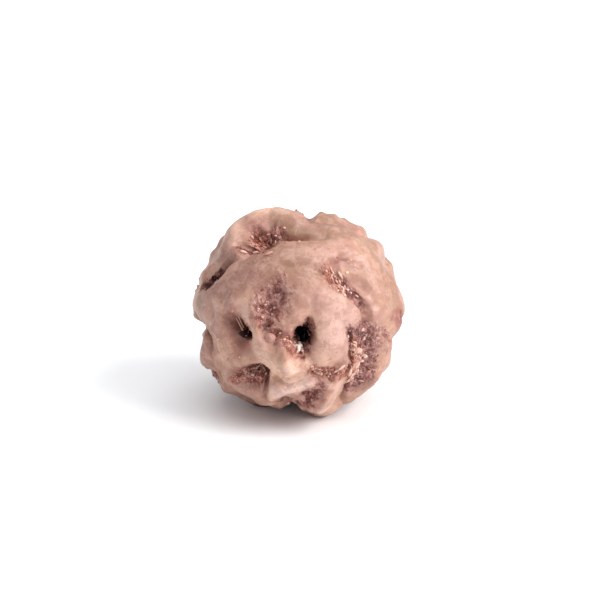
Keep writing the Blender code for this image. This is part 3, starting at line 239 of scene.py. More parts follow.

# Washes of colour over the skin, seen from the front: across, up, half-width, strength. Some of them are painted shade.
FRONT_WASHES = {
    "pale": [
        [(-5.8, 5.6, 0.9, 0.6), (-5.5, 6.5, 0.9, 0.8), (-5.0, 7.3, 0.9, 0.7)],
        [(-1.1, -4.2, 0.35, 0.6), (-0.8, -5.2, 0.4, 0.7), (-0.4, -5.7, 0.4, 0.6)],
        [(1.1, 1.5, 1.0, 0.4), (1.8, 0.7, 1.2, 0.4), (3.0, 0.0, 1.5, 0.6), (3.2, -1.5, 1.5, 0.95), (2.4, -2.9, 1.0, 0.6)],
        [(4.6, -0.3, 1.0, 0.6)],
        [(0.4, 5.0, 1.0, 0.35), (1.8, 5.0, 1.0, 0.25), (2.6, 4.9, 0.6, 0.2)],
        [(-6.9, 0.6, 0.9, 0.6), (-5.2, 0.4, 0.9, 0.6), (-4.6, -0.6, 0.7, 0.6)],
        [(-3.7, -3.0, 0.6, 0.6), (-3.1, -4.0, 0.7, 0.4)],
        [(-1.4, -6.8, 0.8, 0.7), (-0.4, -6.7, 0.8, 0.9), (0.8, -6.3, 0.8, 0.8)],
        [(2.1, -8.5, 0.8, 0.7)],
        [(8.1, -4.4, 0.9, 0.8), (7.4, -5.5, 0.8, 0.9), (6.8, -6.4, 0.7, 0.7)],
    ],
    "tan": [
        [(-4.8, 9.2, 1.2, 0.9), (-3.2, 9.0, 1.3, 1.0), (-1.8, 8.7, 1.0, 0.7)],
        [(-2.6, -5.0, 0.9, 0.8), (-1.4, -6.0, 0.7, 1.0), (-0.4, -6.1, 0.7, 1.0), (0.3, -5.4, 0.8, 0.7)],
        [(4.6, 6.6, 1.2, 0.8), (6.2, 5.4, 1.4, 0.9), (7.0, 3.8, 1.4, 0.9), (7.6, 2.2, 1.2, 0.7)],
        [(-7.0, -3.0, 0.9, 0.6), (-6.4, -4.4, 0.9, 0.8), (-7.2, -5.6, 0.8, 0.8), (-6.2, -6.8, 0.9, 0.7)],
        [(-8.6, 1.4, 0.9, 0.7), (-9.0, -0.2, 0.9, 0.8)],
        [(3.1, -7.4, 1.1, 0.8), (2.8, -8.8, 0.9, 0.8)],
        [(-2.4, -8.4, 0.7, 0.8)],
        [(2.4, -4.2, 1.2, 0.5)],
    ],
    "cream": [
        [(-4.2, 8.1, 1.1, 0.8), (-2.9, 8.2, 1.2, 1.1), (-1.8, 8.2, 1.0, 1.0), (-0.6, 8.1, 0.8, 0.7)],
        [(-5.3, 7.1, 0.8, 0.8), (-5.1, 6.6, 0.7, 0.8), (-5.4, 5.9, 0.6, 0.6)],
        [(-8.1, -1.3, 0.3, 0.7), (-7.5, -2.4, 0.3, 0.9), (-7.2, -3.4, 0.3, 0.8), (-6.9, -4.4, 0.35, 0.6)],
        [(-2.9, -3.6, 0.9, 0.5), (-2.3, -4.6, 1.0, 0.8), (-1.6, -5.6, 0.9, 0.9), (-0.6, -6.1, 0.7, 0.9)],
        [(-0.9, -4.3, 0.5, 1.1), (-0.5, -4.8, 0.6, 1.2), (0.0, -5.4, 0.6, 0.9)],
        [(-2.2, -7.2, 0.7, 0.9), (-1.2, -7.2, 0.9, 1.0), (0.0, -6.9, 0.8, 0.9), (0.9, -6.5, 0.6, 0.5)],
        [(-2.3, -8.2, 0.5, 0.7)],
        [(3.0, -6.6, 0.9, 0.4), (2.9, -7.6, 1.0, 0.4), (2.5, -8.8, 0.9, 0.8), (1.6, -9.4, 0.6, 0.6)],
        [(-6.9, -3.0, 0.9, 0.4), (-6.4, -4.6, 0.9, 0.5), (-7.4, -4.2, 0.4, 0.6)],
        [(-4.4, 0.9, 0.9, 0.5), (-4.1, -0.8, 0.6, 0.5), (-3.7, -3.2, 0.5, 0.5)],
        [(3.5, -5.75, 0.3, 0.8), (4.1, -5.4, 0.3, 0.9)],
        [(5.4, 5.5, 1.1, 0.4), (6.6, 4.2, 0.9, 0.1)],
        [(2.4, -4.0, 1.1, 0.5)],
    ],
    "milky": [
        [(-1.8, -6.9, 0.8, 0.7), (-0.6, -6.8, 0.9, 1.0), (0.6, -6.4, 0.8, 0.9)],
        [(2.2, -8.5, 1.0, 0.9)],
        [(2.8, -0.4, 1.3, 0.15), (3.0, -1.6, 1.4, 0.2), (3.2, -2.4, 1.2, 0.2)],
        [(-0.7, -4.9, 0.7, 0.4)],
    ],
    # greenish-brown stain of the grooves, and painted shade at the foot gap, under the knob and along the lower rim
    "olive_and_shade": [
        [(-2.4, 3.8, 1.1, 0.55), (-0.8, 3.9, 1.2, 0.75), (0.8, 3.8, 1.1, 0.7), (2.0, 3.3, 0.8, 0.5)],
        [(-1.2, 4.9, 1.2, 0.55), (-0.2, 4.8, 1.0, 0.5)],
        [(-0.9, 3.0, 0.8, 0.4), (0.4, 2.8, 0.9, 0.4)],
        [(2.9, 8.3, 0.9, 0.9), (1.8, 7.1, 0.8, 0.5), (3.0, 6.9, 1.0, 0.6), (4.4, 6.9, 1.0, 0.5)],
        [(-8.5, 0.9, 1.0, 0.9), (-8.9, 0.0, 0.8, 0.7)],
        [(6.4, 5.2, 1.5, 0.35), (7.4, 3.6, 1.5, 0.4), (8.0, 1.8, 1.4, 0.4), (8.7, 0.4, 0.9, 0.45)],
        [(-8.6, -2.4, 0.5, 0.5), (-8.4, -3.8, 0.7, 0.4), (-8.0, -5.0, 0.7, 0.3)],
        [(-2.4, 7.2, 0.6, 0.8), (-1.0, 7.3, 1.0, 1.0), (0.6, 7.3, 1.1, 0.9), (1.8, 7.2, 0.8, 0.5)],
        [(-3.4, 5.0, 0.8, 0.5), (-1.9, 5.9, 0.7, 0.6)],
        [(-1.0, 6.1, 0.8, 0.5), (0.8, 6.1, 0.8, 0.4)],
        [(-9.2, 4.2, 0.8, 0.5), (-8.0, 5.6, 0.8, 0.5)],
        [(-1.2, -8.3, 0.8, 0.9), (0.2, -8.7, 0.7, 0.8)],
        [(5.0, -8.8, 1.0, 0.8), (6.6, -7.9, 1.0, 0.8), (8.0, -6.7, 0.9, 0.7)],
        [(2.2, 8.0, 0.9, 0.7), (3.8, 7.8, 1.0, 0.7), (1.6, 8.4, 0.7, 0.6)],
        [(-7.6, 5.2, 0.8, 0.8), (-8.3, 4.0, 0.7, 0.5)],
    ],
    "ruddy": [
        [(-5.9, -0.7, 1.1, 1.0), (-5.2, -1.6, 1.0, 1.0), (-5.1, -2.8, 0.9, 0.9), (-5.2, -3.6, 0.6, 0.5)],
        [(-5.4, -5.6, 1.0, 0.8), (-4.2, -6.4, 1.0, 0.7)],
        [(-3.3, 7.0, 1.9, 0.8)],
        [(2.6, 4.0, 0.6, 0.6), (3.4, 4.2, 0.6, 0.5)],
        [(-1.4, -2.2, 0.9, 0.7), (-0.7, -3.2, 0.7, 0.7)],
        [(8.5, -0.4, 0.8, 1.0), (8.8, -1.1, 0.7, 1.0)],
        [(1.5, -7.0, 1.1, 0.7), (1.2, -8.2, 0.8, 0.7)],
        [(1.6, -5.5, 0.8, 0.5), (3.0, -5.5, 0.7, 0.4)],
    ],
    # mauve-brown of the troughs, and painted shade under the cheek's overhang, in the cheek gap and low on the left
    "mauve_and_shade": [
        [(-7.6, 2.2, 1.2, 0.9), (-6.3, 1.6, 1.0, 0.7), (-4.6, 2.6, 1.1, 0.6)],
        [(-6.6, 4.9, 1.0, 0.9), (-5.6, 5.0, 0.7, 0.7)],
        [(-8.85, -2.0, 0.45, 0.9), (-8.5, -3.0, 0.45, 1.0), (-8.25, -4.0, 0.4, 0.9), (-7.8, -5.0, 0.4, 0.7)],
        [(-5.2, -5.1, 0.5, 0.7), (-4.2, -4.95, 0.5, 0.8), (-3.3, -4.9, 0.4, 0.7)],
        [(-2.6, 2.2, 1.6, 0.4), (-2.9, 0.4, 1.7, 0.5), (-2.9, -1.0, 1.0, 0.4)],
        [(-4.2, 3.8, 1.2, 0.5)],
        [(4.5, 2.6, 0.7, 0.9), (5.2, 1.6, 0.7, 0.8), (5.9, 0.6, 0.8, 0.7), (6.2, -0.6, 0.8, 0.7)],
        [(3.75, 5.0, 0.5, 0.6), (3.9, 4.55, 0.45, 1.0), (4.75, 4.0, 0.35, 1.0), (5.2, 3.8, 0.25, 0.7)],
        [(6.2, -1.8, 1.6, 0.7), (6.5, -4.0, 1.5, 0.9), (5.6, -6.3, 1.3, 0.9)],
        [(-3.1, -6.9, 0.5, 0.6), (-3.1, -7.9, 0.4, 0.5)],
        [(-3.9, -8.2, 1.0, 0.5), (-5.4, -8.4, 0.9, 0.5)],
        [(0.2, 8.2, 1.0, 0.4)],
    ],
    # painted shade: brown laid in the shaded pits, gaps and creases
    "painted_shade": [
        [(-6.4, -0.85, 0.5, 0.2), (-5.95, -1.2, 0.5, 0.4), (-5.5, -1.8, 0.6, 0.8), (-4.9, -2.3, 0.6, 0.9)],
        [(-5.3, -2.7, 0.6, 0.5)],
        [(-5.0, -5.5, 0.4, 0.5), (-4.4, -5.3, 0.6, 0.8), (-3.6, -5.3, 0.6, 0.9), (-3.2, -6.0, 0.4, 0.7)],
        [(5.9, -2.2, 1.0, 0.15), (6.6, -3.2, 1.2, 0.2), (6.2, -4.9, 1.2, 0.15), (5.4, -6.2, 1.0, 0.15)],
        [(-8.5, -1.9, 0.3, 0.8), (-8.15, -2.6, 0.35, 1.0), (-8.0, -3.3, 0.3, 0.9), (-7.8, -4.0, 0.25, 0.5)],
        [(-8.7, 2.2, 0.4, 0.6), (-8.0, 2.8, 0.5, 0.7), (-7.1, 3.6, 0.45, 0.7), (-6.4, 4.3, 0.35, 0.5)],
        [(-3.0, 6.1, 0.6, 0.5), (-2.4, 6.3, 0.5, 0.5), (-1.8, 6.5, 0.4, 0.3)],
        [(-3.05, -6.3, 0.2, 0.6), (-3.0, -7.2, 0.15, 0.5)],
        [(4.65, -1.7, 0.3, 0.6), (5.0, -2.6, 0.35, 0.7), (4.95, -3.4, 0.25, 0.5)],
        [(1.1, -1.3, 0.35, 0.4), (1.2, -2.2, 0.35, 0.6), (1.0, -3.0, 0.3, 0.5)],
        [(-1.1, -8.3, 0.8, 0.6), (-0.3, -8.6, 0.8, 0.7), (0.5, -8.6, 0.4, 0.5)],
    ],
    "speckled": [
        [(-0.6, 8.3, 1.3, 0.9), (-2.2, 8.0, 0.9, 0.6)],
        [(-4.2, 3.7, 1.4, 1.0), (-5.6, 3.0, 1.2, 0.8), (-7.2, 2.2, 1.2, 0.7)],
        [(-3.2, 4.8, 1.0, 1.0), (-1.6, 4.7, 0.9, 0.6)],
        [(-6.3, 1.0, 1.1, 0.7), (-6.6, -0.4, 0.9, 0.5)],
        [(-1.2, 6.0, 1.2, 0.7), (0.6, 5.9, 1.0, 0.5)],
        [(0.8, 3.8, 1.2, 0.6), (2.2, 3.4, 1.0, 0.7)],
        [(7.4, 3.2, 1.3, 0.6), (7.8, 1.4, 1.1, 0.6)],
        [(5.2, 6.4, 1.3, 0.7), (6.0, 5.0, 1.0, 0.6)],
        [(2.6, -3.4, 1.4, 0.5)],
        [(8.3, -2.6, 0.8, 1.0), (8.5, -3.8, 0.8, 0.8)],
    ],
}

# Painted shade over the openings seen from the front, near-black as the deep holes are: across, up, half-width,
# strength.
HOLE_SHADE_STROKES = [
    [(-8.15, 2.15, 0.4, 1.0), (-7.9, 2.4, 0.6, 1.2), (-7.55, 2.75, 0.45, 1.1), (-7.9, 3.1, 0.35, 0.9)],
    [(-7.0, 3.1, 0.36, 1.1), (-6.75, 3.4, 0.36, 1.1)],
    [(0.1, -2.3, 0.8, 1.0), (0.75, -2.2, 0.7, 1.0)],
    [(0.95, -1.5, 0.22, 0.6), (1.05, -2.1, 0.3, 0.8), (1.0, -2.9, 0.22, 0.7)],
    [(-5.35, -1.95, 0.26, 0.7), (-5.05, -2.1, 0.45, 1.0), (-4.65, -2.1, 0.45, 1.0)],
    [(-5.4, -0.95, 0.22, 0.6), (-5.2, -1.4, 0.2, 0.6)],
    [(-4.4, -5.85, 0.3, 1.0), (-4.2, -5.95, 0.32, 1.0)],
    [(-4.7, -5.3, 0.28, 0.9), (-4.3, -5.25, 0.28, 0.8)],
    [(-3.6, -5.3, 0.35, 0.9), (-3.2, -5.6, 0.38, 1.0)],
    [(-2.45, 6.0, 0.3, 0.35), (-2.8, 6.1, 0.3, 0.3)],
    [(-2.0, 6.95, 0.2, 0.5)],
    [(-3.0, -6.0, 0.12, 0.5), (-2.95, -7.2, 0.1, 0.4)],
]

# The back's share of each wash: how many, half-widths, strengths.
BACK_WASHES = {
    "pale": (22, (0.7, 1.4), (0.4, 0.9)),
    "tan": (24, (0.9, 1.6), (0.5, 1.0)),
    "cream": (14, (0.7, 1.3), (0.3, 0.8)),
    "olive_and_shade": (14, (0.7, 1.3), (0.4, 0.9)),
    "ruddy": (18, (0.7, 1.2), (0.5, 1.0)),
    "mauve_and_shade": (26, (0.9, 1.6), (0.5, 1.0)),
    "painted_shade": (6, (0.3, 0.6), (0.4, 0.8)),
    "speckled": (24, (0.9, 1.6), (0.5, 1.0)),
    "milky": (8, (0.6, 1.2), (0.3, 0.6)),
}

# Fibre beds seen from the front: how many fibres, their length and half-thickness, how light they are,
# the spot they fan out from, and the bed as across, up, half-width, strength.
FIBRE_BEDS = {
    "crown_pit": (75, 0.62, 0.08, 0.3, (-2.6, 5.7), [
        (-4.1, 6.1, 0.5, 1.0), (-3.7, 6.8, 0.75, 1.0), (-3.2, 6.8, 1.1, 1.0), (-2.6, 6.5, 0.9, 0.8)]),
    "groove_end": (16, 0.4, 0.055, 0.2, (-1.8, 6.0), [(-2.2, 7.2, 0.7, 1.0), (-1.4, 7.0, 0.5, 1.0)]),
    "right_trough": (40, 0.55, 0.085, 0.5, (4.4, 1.0), [
        (2.7, 3.6, 0.5, 0.7), (3.3, 3.2, 0.8, 1.0), (3.7, 2.5, 0.7, 1.0), (4.2, 1.8, 0.6, 0.8)]),
    "middle_trough": (36, 0.3, 0.065, 0.35, (-2.9, 8.0), [
        (-2.3, 1.8, 0.8, 0.5), (-2.9, 0.7, 1.1, 1.0), (-3.1, -0.3, 1.0, 1.0), (-3.0, -1.2, 0.5, 1.0)]),
    "mouth_left": (42, 0.45, 0.06, 0.55, (0.4, -2.6), [
        (-1.7, -2.1, 0.4, 0.6), (-1.1, -2.5, 0.5, 1.0), (-0.6, -3.1, 0.5, 1.0), (0.0, -3.6, 0.6, 1.0),
        (0.4, -4.0, 0.4, 0.6)]),
    "right_field_fibre": (100, 0.65, 0.085, 0.55, (5.4, -9.0), [
        (5.2, -3.2, 0.6, 0.8), (5.8, -4.2, 1.1, 1.0), (5.4, -5.3, 1.1, 1.0), (4.8, -6.1, 0.7, 0.8)]),
    "right_field": (110, 0.42, 0.065, 0.3, (9.0, -9.0), [
        (5.6, -1.7, 0.8, 0.8), (6.6, -2.9, 1.4, 1.0), (6.6, -4.6, 1.3, 1.0), (5.7, -6.3, 1.1, 1.0)]),
    "under_disc": (42, 0.45, 0.065, 0.5, (2.6, -7.5), [
        (4.2, -5.4, 0.6, 1.0), (3.2, -5.6, 0.5, 0.8), (2.2, -5.4, 0.6, 1.0), (1.3, -5.2, 0.5, 1.0)]),
    "tooth_patch": (34, 0.38, 0.055, 0.35, (2.6, -9.8), [
        (1.9, -6.7, 0.5, 0.7), (1.2, -7.2, 0.8, 1.0), (0.6, -7.9, 0.5, 1.0)]),
    "foot_gap": (30, 0.35, 0.055, 0.4, (-0.4, -9.9), [(-1.3, -8.3, 0.5, 1.0), (-0.6, -8.5, 0.6, 1.0)]),
    "lower_pit": (55, 0.42, 0.065, 0.35, (-3.8, -5.4), [
        (-5.5, -5.9, 0.6, 0.8), (-4.5, -5.9, 0.8, 1.0), (-3.4, -5.7, 0.8, 1.0)]),
    "slit": (14, 0.3, 0.05, 0.25, (-9.0, 6.0), [(-8.6, 2.5, 0.5, 1.0), (-7.9, 3.0, 0.4, 1.0), (-7.0, 3.7, 0.4, 0.8)]),
}

# Single bright chips seen from the front: across, up, length, half-thickness, turn in degrees, lightness.
CHIPS = [
    (-5.05, 5.5, 0.75, 0.13, -4, 0.95), (-3.95, 5.45, 0.8, 0.13, -12, 1.0), (-2.7, 5.3, 0.9, 0.2, 25, 0.5),
    (-4.3, 6.9, 0.5, 0.09, -45, 0.85), (-2.75, 7.15, 0.5, 0.09, 20, 0.8), (-2.1, 7.05, 0.3, 0.11, 0, 0.9),
    (-1.3, 7.75, 0.3, 0.1, -20, 0.8), (0.05, 6.45, 0.35, 0.09, 0, 0.85),
    (3.15, 3.6, 0.6, 0.13, -60, 1.0), (3.85, 3.4, 0.85, 0.15, -62, 0.9), (4.45, 3.6, 0.4, 0.15, 10, 1.0),
    (4.0, 2.2, 0.35, 0.14, -30, 0.95), (4.5, 2.05, 0.4, 0.13, -20, 1.0), (3.6, 1.95, 0.35, 0.12, 0, 0.9),
    (4.2, 1.5, 0.4, 0.14, -45, 1.0), (4.8, 1.75, 0.35, 0.11, -30, 0.85), (5.4, 1.45, 0.5, 0.1, -40, 0.8),
    (3.45, 2.75, 0.6, 0.12, -70, 0.75), (3.8, 2.75, 0.7, 0.12, -80, 0.75), (2.9, 2.3, 0.4, 0.1, -40, 0.6),
    (-0.02, -3.35, 0.75, 0.2, 72, 1.3), (0.15, -3.15, 0.6, 0.18, 110, 1.3), (-0.2, -3.1, 0.5, 0.15, 60, 1.1),
    (0.1, -2.9, 0.35, 0.16, 20, 1.2), (-0.15, -3.65, 0.4, 0.14, 30, 1.0), (0.3, -3.45, 0.3, 0.12, 0, 1.0),
    (-0.4, -3.15, 0.45, 0.12, -50, 0.9), (-0.75, -2.75, 0.5, 0.1, -45, 0.85),
    (0.35, -3.6, 0.35, 0.14, 20, 0.7), (-1.65, -1.95, 0.25, 0.12, 0, 0.8), (-1.3, -2.55, 0.3, 0.12, 0, 0.85),
    (6.15, -4.1, 0.5, 0.24, -30, 1.0), (5.85, -4.55, 0.45, 0.17, 0, 0.95), (6.0, -2.45, 0.5, 0.13, 70, 0.9),
    (5.9, -1.65, 0.4, 0.14, 30, 0.85), (4.5, -2.3, 0.35, 0.13, 40, 0.9), (5.15, -2.85, 0.55, 0.11, 25, 0.8),
    (5.5, -3.5, 0.9, 0.3, -15, 0.75), (4.75, -5.6, 1.0, 0.16, 84, 1.0), (5.15, -5.65, 0.95, 0.14, 76, 0.9),
    (5.45, -4.95, 0.7, 0.14, 80, 0.95), (5.45, -5.5, 0.6, 0.13, -70, 0.9), (4.0, -5.2, 1.0, 0.14, 48, 0.75),
    (3.55, -5.45, 0.7, 0.13, 30, 0.75), (2.05, -5.75, 0.4, 0.2, 20, 1.0), (1.5, -5.45, 0.35, 0.13, -30, 0.8),
    (1.2, -5.0, 0.35, 0.12, 0, 0.7), (2.9, -5.75, 0.3, 0.12, 0, 0.7), (4.6, -6.3, 0.8, 0.1, 50, 0.6),
    (5.9, -6.4, 0.7, 0.1, -35, 0.55), (6.5, -5.6, 0.5, 0.1, 20, 0.45), (7.3, -2.4, 0.4, 0.1, -20, 0.6),
    (-4.2, -5.85, 0.5, 0.2, -40, 0.75), (-3.8, -5.2, 0.4, 0.1, 30, 0.8), (-3.15, -5.3, 0.6, 0.1, -35, 0.6),
    (-5.0, -6.1, 0.35, 0.1, 0, 0.55), (-4.85, -2.25, 0.2, 0.12, 0, 0.55), (-0.95, -8.45, 0.35, 0.2, 0, 0.75),
    (-3.05, 0.65, 0.3, 0.14, 0, 0.7), (-2.2, 0.35, 0.3, 0.12, 30, 0.65), (-3.7, 0.25, 0.3, 0.13, 0, 0.6),
    (-2.4, -0.25, 0.25, 0.12, 0, 0.65), (-3.3, -0.5, 0.3, 0.13, -30, 0.7), (-7.4, -2.55, 0.14, 0.08, 0, 0.9),
    (-5.4, -4.2, 0.12, 0.07, 0, 0.9), (8.1, 1.6, 0.14, 0.08, 0, 0.9), (4.55, 4.6, 0.14, 0.08, 0, 0.9),
]

# Strands across the holes, seen from the front: half-thickness, then across, up and how far each point
# stands out from the skin it is seen against.
STRANDS = [
    (0.075, [(-5.75, -0.55, 0.0), (-5.45, -1.1, 0.35), (-5.15, -1.75, 0.1)]),
    (0.06, [(-5.55, -0.4, 0.0), (-5.3, -0.95, 0.3), (-5.05, -1.5, 0.1)]),
    (0.07, [(0.25, -1.35, 0.0), (0.8, -1.5, 0.5), (1.05, -2.2, 0.3)]),
    (0.06, [(-3.4, -4.75, 0.0), (-3.75, -5.15, 0.5), (-4.15, -5.25, 0.5)]),
]

# Beads seen from the front: across, up, radius, lightness.
BEADS = [(-2.58, -2.38, 0.42, 0.45), (1.85, -5.6, 0.26, 0.9), (-1.15, -8.65, 0.25, 0.6), (-6.05, 0.05, 0.15, 0.45)]


def unit(rows):
    """Each row at length one."""
    return rows / np.linalg.norm(rows, axis=-1, keepdims=True)


def on_front(across, up, radius=SKIN_RADIUS):
    """The direction from the seed's middle of a point of the front map, on a ball of this radius."""
    tilt = math.radians(FRONT_TILT)
    turn = math.atan2(up, across)
    share = math.hypot(across, up) / radius
    reach = min(share, 2.0 - share)
    right, high = reach * math.cos(turn), reach * math.sin(turn)
    toward = math.copysign(math.sqrt(1.0 - reach * reach), 1.0 - share)
    return Vector((
        right,
        -toward * math.cos(tilt) + high * math.sin(tilt),
        toward * math.sin(tilt) + high * math.cos(tilt),
    ))


def front_fold(points):
    """A fold of the front map as rows of x, y, z in millimetres, half-width and height."""
    return [
        (*(on_front(across, up, SKIN_RADIUS + height) * SKIN_RADIUS), width, height)
        for across, up, width, height in points
    ]


def front_hollow(points):
    """A hollow of the front map as rows of x, y, z in millimetres, half-width and depth."""
    return [(*(on_front(across, up) * SKIN_RADIUS), width, depth) for across, up, width, depth in points]


def stalk_axes():
    """The direction of the stalk end, and two square to it."""
    stalk = -on_front(*MOUTH)
    side = stalk.orthogonal().normalized()
    return stalk, side, stalk.cross(side)


def spread(count, turn=0.0):
    """Directions spaced evenly over a ball, by the golden angle, from the stalk end to the mouth."""
    stalk, side, third = stalk_axes()
    for index in range(count):
        along = 1.0 - (2 * index + 1) / count
        around = index * math.pi * (3 - math.sqrt(5)) + turn
        ring = math.sqrt(1.0 - along * along)
        yield stalk * along + side * (ring * math.cos(around)) + third * (ring * math.sin(around))


def seen_from_front(direction):
    """The cosine between a direction and the line towards the front map's viewer."""
    return direction.dot(on_front(0.0, 0.0))


def off_the_table(direction):
    """One over most of the ball, falling to a fifth straight down, where only the feet stand out."""
    return 1.0 - 0.8 * min(1.0, max(0.0, (-direction.z - 0.72) / 0.22))


def feet():
    """The three low points that the seed rests on, each a short fold that reaches past the table."""
    for x, y, width in FEET:
        spot = Vector((x, y, -REST_HEIGHT))
        height = spot.length + FOOT_TRIM - SKIN_RADIUS
        inner = Vector((x * 0.75, y * 0.75, -REST_HEIGHT)).normalized() * SKIN_RADIUS
        outer = Vector((x * 1.6, y * 1.6, -REST_HEIGHT)).normalized() * SKIN_RADIUS
        spot = spot.normalized() * SKIN_RADIUS
        yield [(*inner, width * 1.1, height * 0.4), (*spot, width, height * 0.9), (*outer, width, height * 0.8)]


def arch_between_feet():
    """The underside's lift, which keeps all but the feet off the table."""
    return 2, [(0.0, 0.4, -SKIN_RADIUS, *ARCH)] * 2


def heading_from(draw, spot):
    """A random direction along the ball's skin."""
    return spot.cross(Vector((draw.uniform(-1, 1), draw.uniform(-1, 1), draw.uniform(-1, 1)))).normalized()


def wander(draw, spot, steps, limit):
    """A winding line over the ball, cut short where it would come in sight of the front map's viewer."""
    heading = heading_from(draw, spot)
    bend = draw.uniform(-0.5, 0.5)
    line = []
    for _ in range(steps):
        if seen_from_front(spot) > limit:
            break
        line.append(spot.copy())
        spot = (spot + heading * STRIDE * draw.uniform(0.8, 1.2)).normalized()
        heading = (heading - spot * heading.dot(spot)).normalized()
        heading = (heading + spot.cross(heading) * (bend + draw.uniform(-0.4, 0.4))).normalized()
    return line


def wandering_features(count, turn, seed, steps, widths, heights, limit=FRONT_MAP_EDGE):
    """Winding lines spaced evenly over the sides and back, each with a width and height of its own."""
    draw = random.Random(seed)
    for start in spread(count, turn):
        width, height = draw.uniform(*widths), draw.uniform(*heights) * off_the_table(start)
        line = wander(draw, start, draw.choice(steps), limit)
        if line:
            yield [
                (*(spot * SKIN_RADIUS), width * draw.uniform(0.8, 1.2), height * draw.uniform(0.75, 1.2))
                for spot in line
            ]


def wandering_folds():
    """Broad swellings, winding folds and small knobs, where the front map doesn't reach."""
    yield from wandering_features(22, 0.4, SEED, (1, 2), (1.6, 2.4), (0.3, 0.6))
    yield from wandering_features(90, 0.0, SEED + 1, (2, 3, 3, 4, 5), (0.8, 1.4), (0.4, 0.9))
    yield from wandering_features(60, 2.1, SEED + 2, (1, 1, 2), (0.5, 0.8), (0.4, 0.8))


def wandering_hollows():
    """Rough troughs, grooves and pits over the sides and back."""
    for path in wandering_features(26, 0.9, SEED + 3, (2, 3, 4), (1.0, 1.6), (0.35, 0.6)):
        yield 2, path
    for path in wandering_features(50, 1.7, SEED + 4, (2, 3, 3, 4), (0.4, 0.7), (0.4, 0.8)):
        yield 2, path
    for path in wandering_features(34, 1.3, SEED + 5, (1, 1, 2), (0.45, 0.85), (0.6, 1.5)):
        yield 3, path


def furrows():
    """The lines between the seed's faces, which run out from the stalk end and fade towards the front."""
    draw = random.Random(SEED + 6)
    stalk, side, third = stalk_axes()
    for index in range(FACES):
        path = []
        sway = draw.uniform(0, 6.28)
        for step in range(13):
            tip = math.radians(8 + 8 * step)
            around = 2 * math.pi * index / FACES + 0.14 * math.sin(1.1 * step + sway)
            spot = stalk * math.cos(tip) + (side * math.cos(around) + third * math.sin(around)) * math.sin(tip)
            if seen_from_front(spot) < 0.0:
                depth = draw.uniform(0.3, 0.75) * off_the_table(spot)
                path.append((*(spot * SKIN_RADIUS), draw.uniform(0.5, 0.9), depth))
        yield 2, path


def stalk_end():
    """The rim and the funnel where the channel comes out behind."""
    stalk, side, third = stalk_axes()
    rim = []
    for step in range(11):
        around = 2 * math.pi * step / 10
        spot = (stalk + (side * math.cos(around) + third * math.sin(around)) * 0.2).normalized()
        rim.append((*(spot * SKIN_RADIUS), 0.8, 0.7 + 0.15 * math.sin(2.5 * around)))
    return rim, (3, [(*(stalk * SKIN_RADIUS), 1.25, 1.4)] * 2)


def segments(path):
    """The stretches of a path, or the path's one point as a stretch with no length."""
    return list(zip(path, path[1:])) or [(path[0], path[0])]


def nearest(skin, start, end):
    """For each skin point, how far it is from a stretch, in half-widths, and the height there."""
    start, end = np.array(start), np.array(end)
    run = end[:3] - start[:3]
    share = np.clip((skin - start[:3]) @ run / max(run @ run, 1e-9), 0, 1)
    away = np.linalg.norm(skin - start[:3] - share[:, None] * run, axis=1)
    width, level = (start[k] + share * (end[k] - start[k]) for k in (3, 4))
    return away / width, level


def bell(away, steepness=2):
    """One on a line and nothing at its edge, with a rounder shoulder the higher the steepness."""
    return (1 - np.minimum(away, 1) ** steepness) ** 2


def swell(skin, features, reach=1.0):
    """The features' heights run together, where they overlap by little more than the highest."""
    total = np.zeros(len(skin))
    for steepness, path in features:
        highest = np.zeros(len(skin))
        for start, end in segments(path):
            away, level = nearest(skin, start, end)
            highest = np.maximum(highest, level * bell(away / reach, steepness))
        total += highest**3
    return np.cbrt(total)


def drift(directions):
    """A slow wander of the skin, so that no fold runs dead straight."""
    return np.array([noise.noise_vector(Vector(spot) * 4.3 + Vector((3.1, 7.7, 1.9))) for spot in directions])


def relief(directions):
    """The skin's height over the ball, in millimetres, in each direction."""
    skin = directions * SKIN_RADIUS + drift(directions) * DRIFT
    rim, funnel = stalk_end()
    folds = [(2, front_fold(points)) for points in FRONT_FOLDS.values()]
    folds += [(2, path) for path in [*wandering_folds(), *feet(), rim]]
    hollows = [(steepness, front_hollow(points)) for steepness, points in FRONT_HOLLOWS.values()]
    hollows += [*wandering_hollows(), *furrows(), funnel, arch_between_feet()]
    return swell(skin, folds, FOLD_REACH) - swell(skin, hollows)


def smooth_step(low, high, value):
    """Zero below one value and one above the other, with a soft rise between."""
    share = np.clip((value - low) / (high - low), 0, 1)
    return share * share * (3 - 2 * share)


def strokes(skin, paths, reach=1.0):
    """How strongly soft strokes cover each skin point."""
    return swell(skin, [(3, path) for path in paths], reach)


def wandering_ground():
    """The rough ground of the sides and back, along their hollows: how rusty it is, and its path."""
    draw = random.Random(SEED + 11)
    for steepness, path in wandering_hollows():
        if draw.random() < 0.6 or steepness == 3:
            widen = draw.uniform(0.9, 1.35)
            yield draw.uniform(0.0, 0.9), [(x, y, z, width * widen, 1.0) for x, y, z, width, depth in path]


def rough_ground(skin):
    """How crumbly and how rusty the ground is at each skin point."""
    grounds = [(rust, front_hollow(points)) for rust, points in ROUGH_GROUND.values()]
    grounds += wandering_ground()
    cover = np.zeros(len(skin))
    rusty = np.zeros(len(skin))
    for rust, path in grounds:
        here = strokes(skin, [path], GROUND_REACH) ** 3
        cover += here
        rusty += here * rust
    return np.cbrt(cover), rusty / np.maximum(cover, 1e-9)


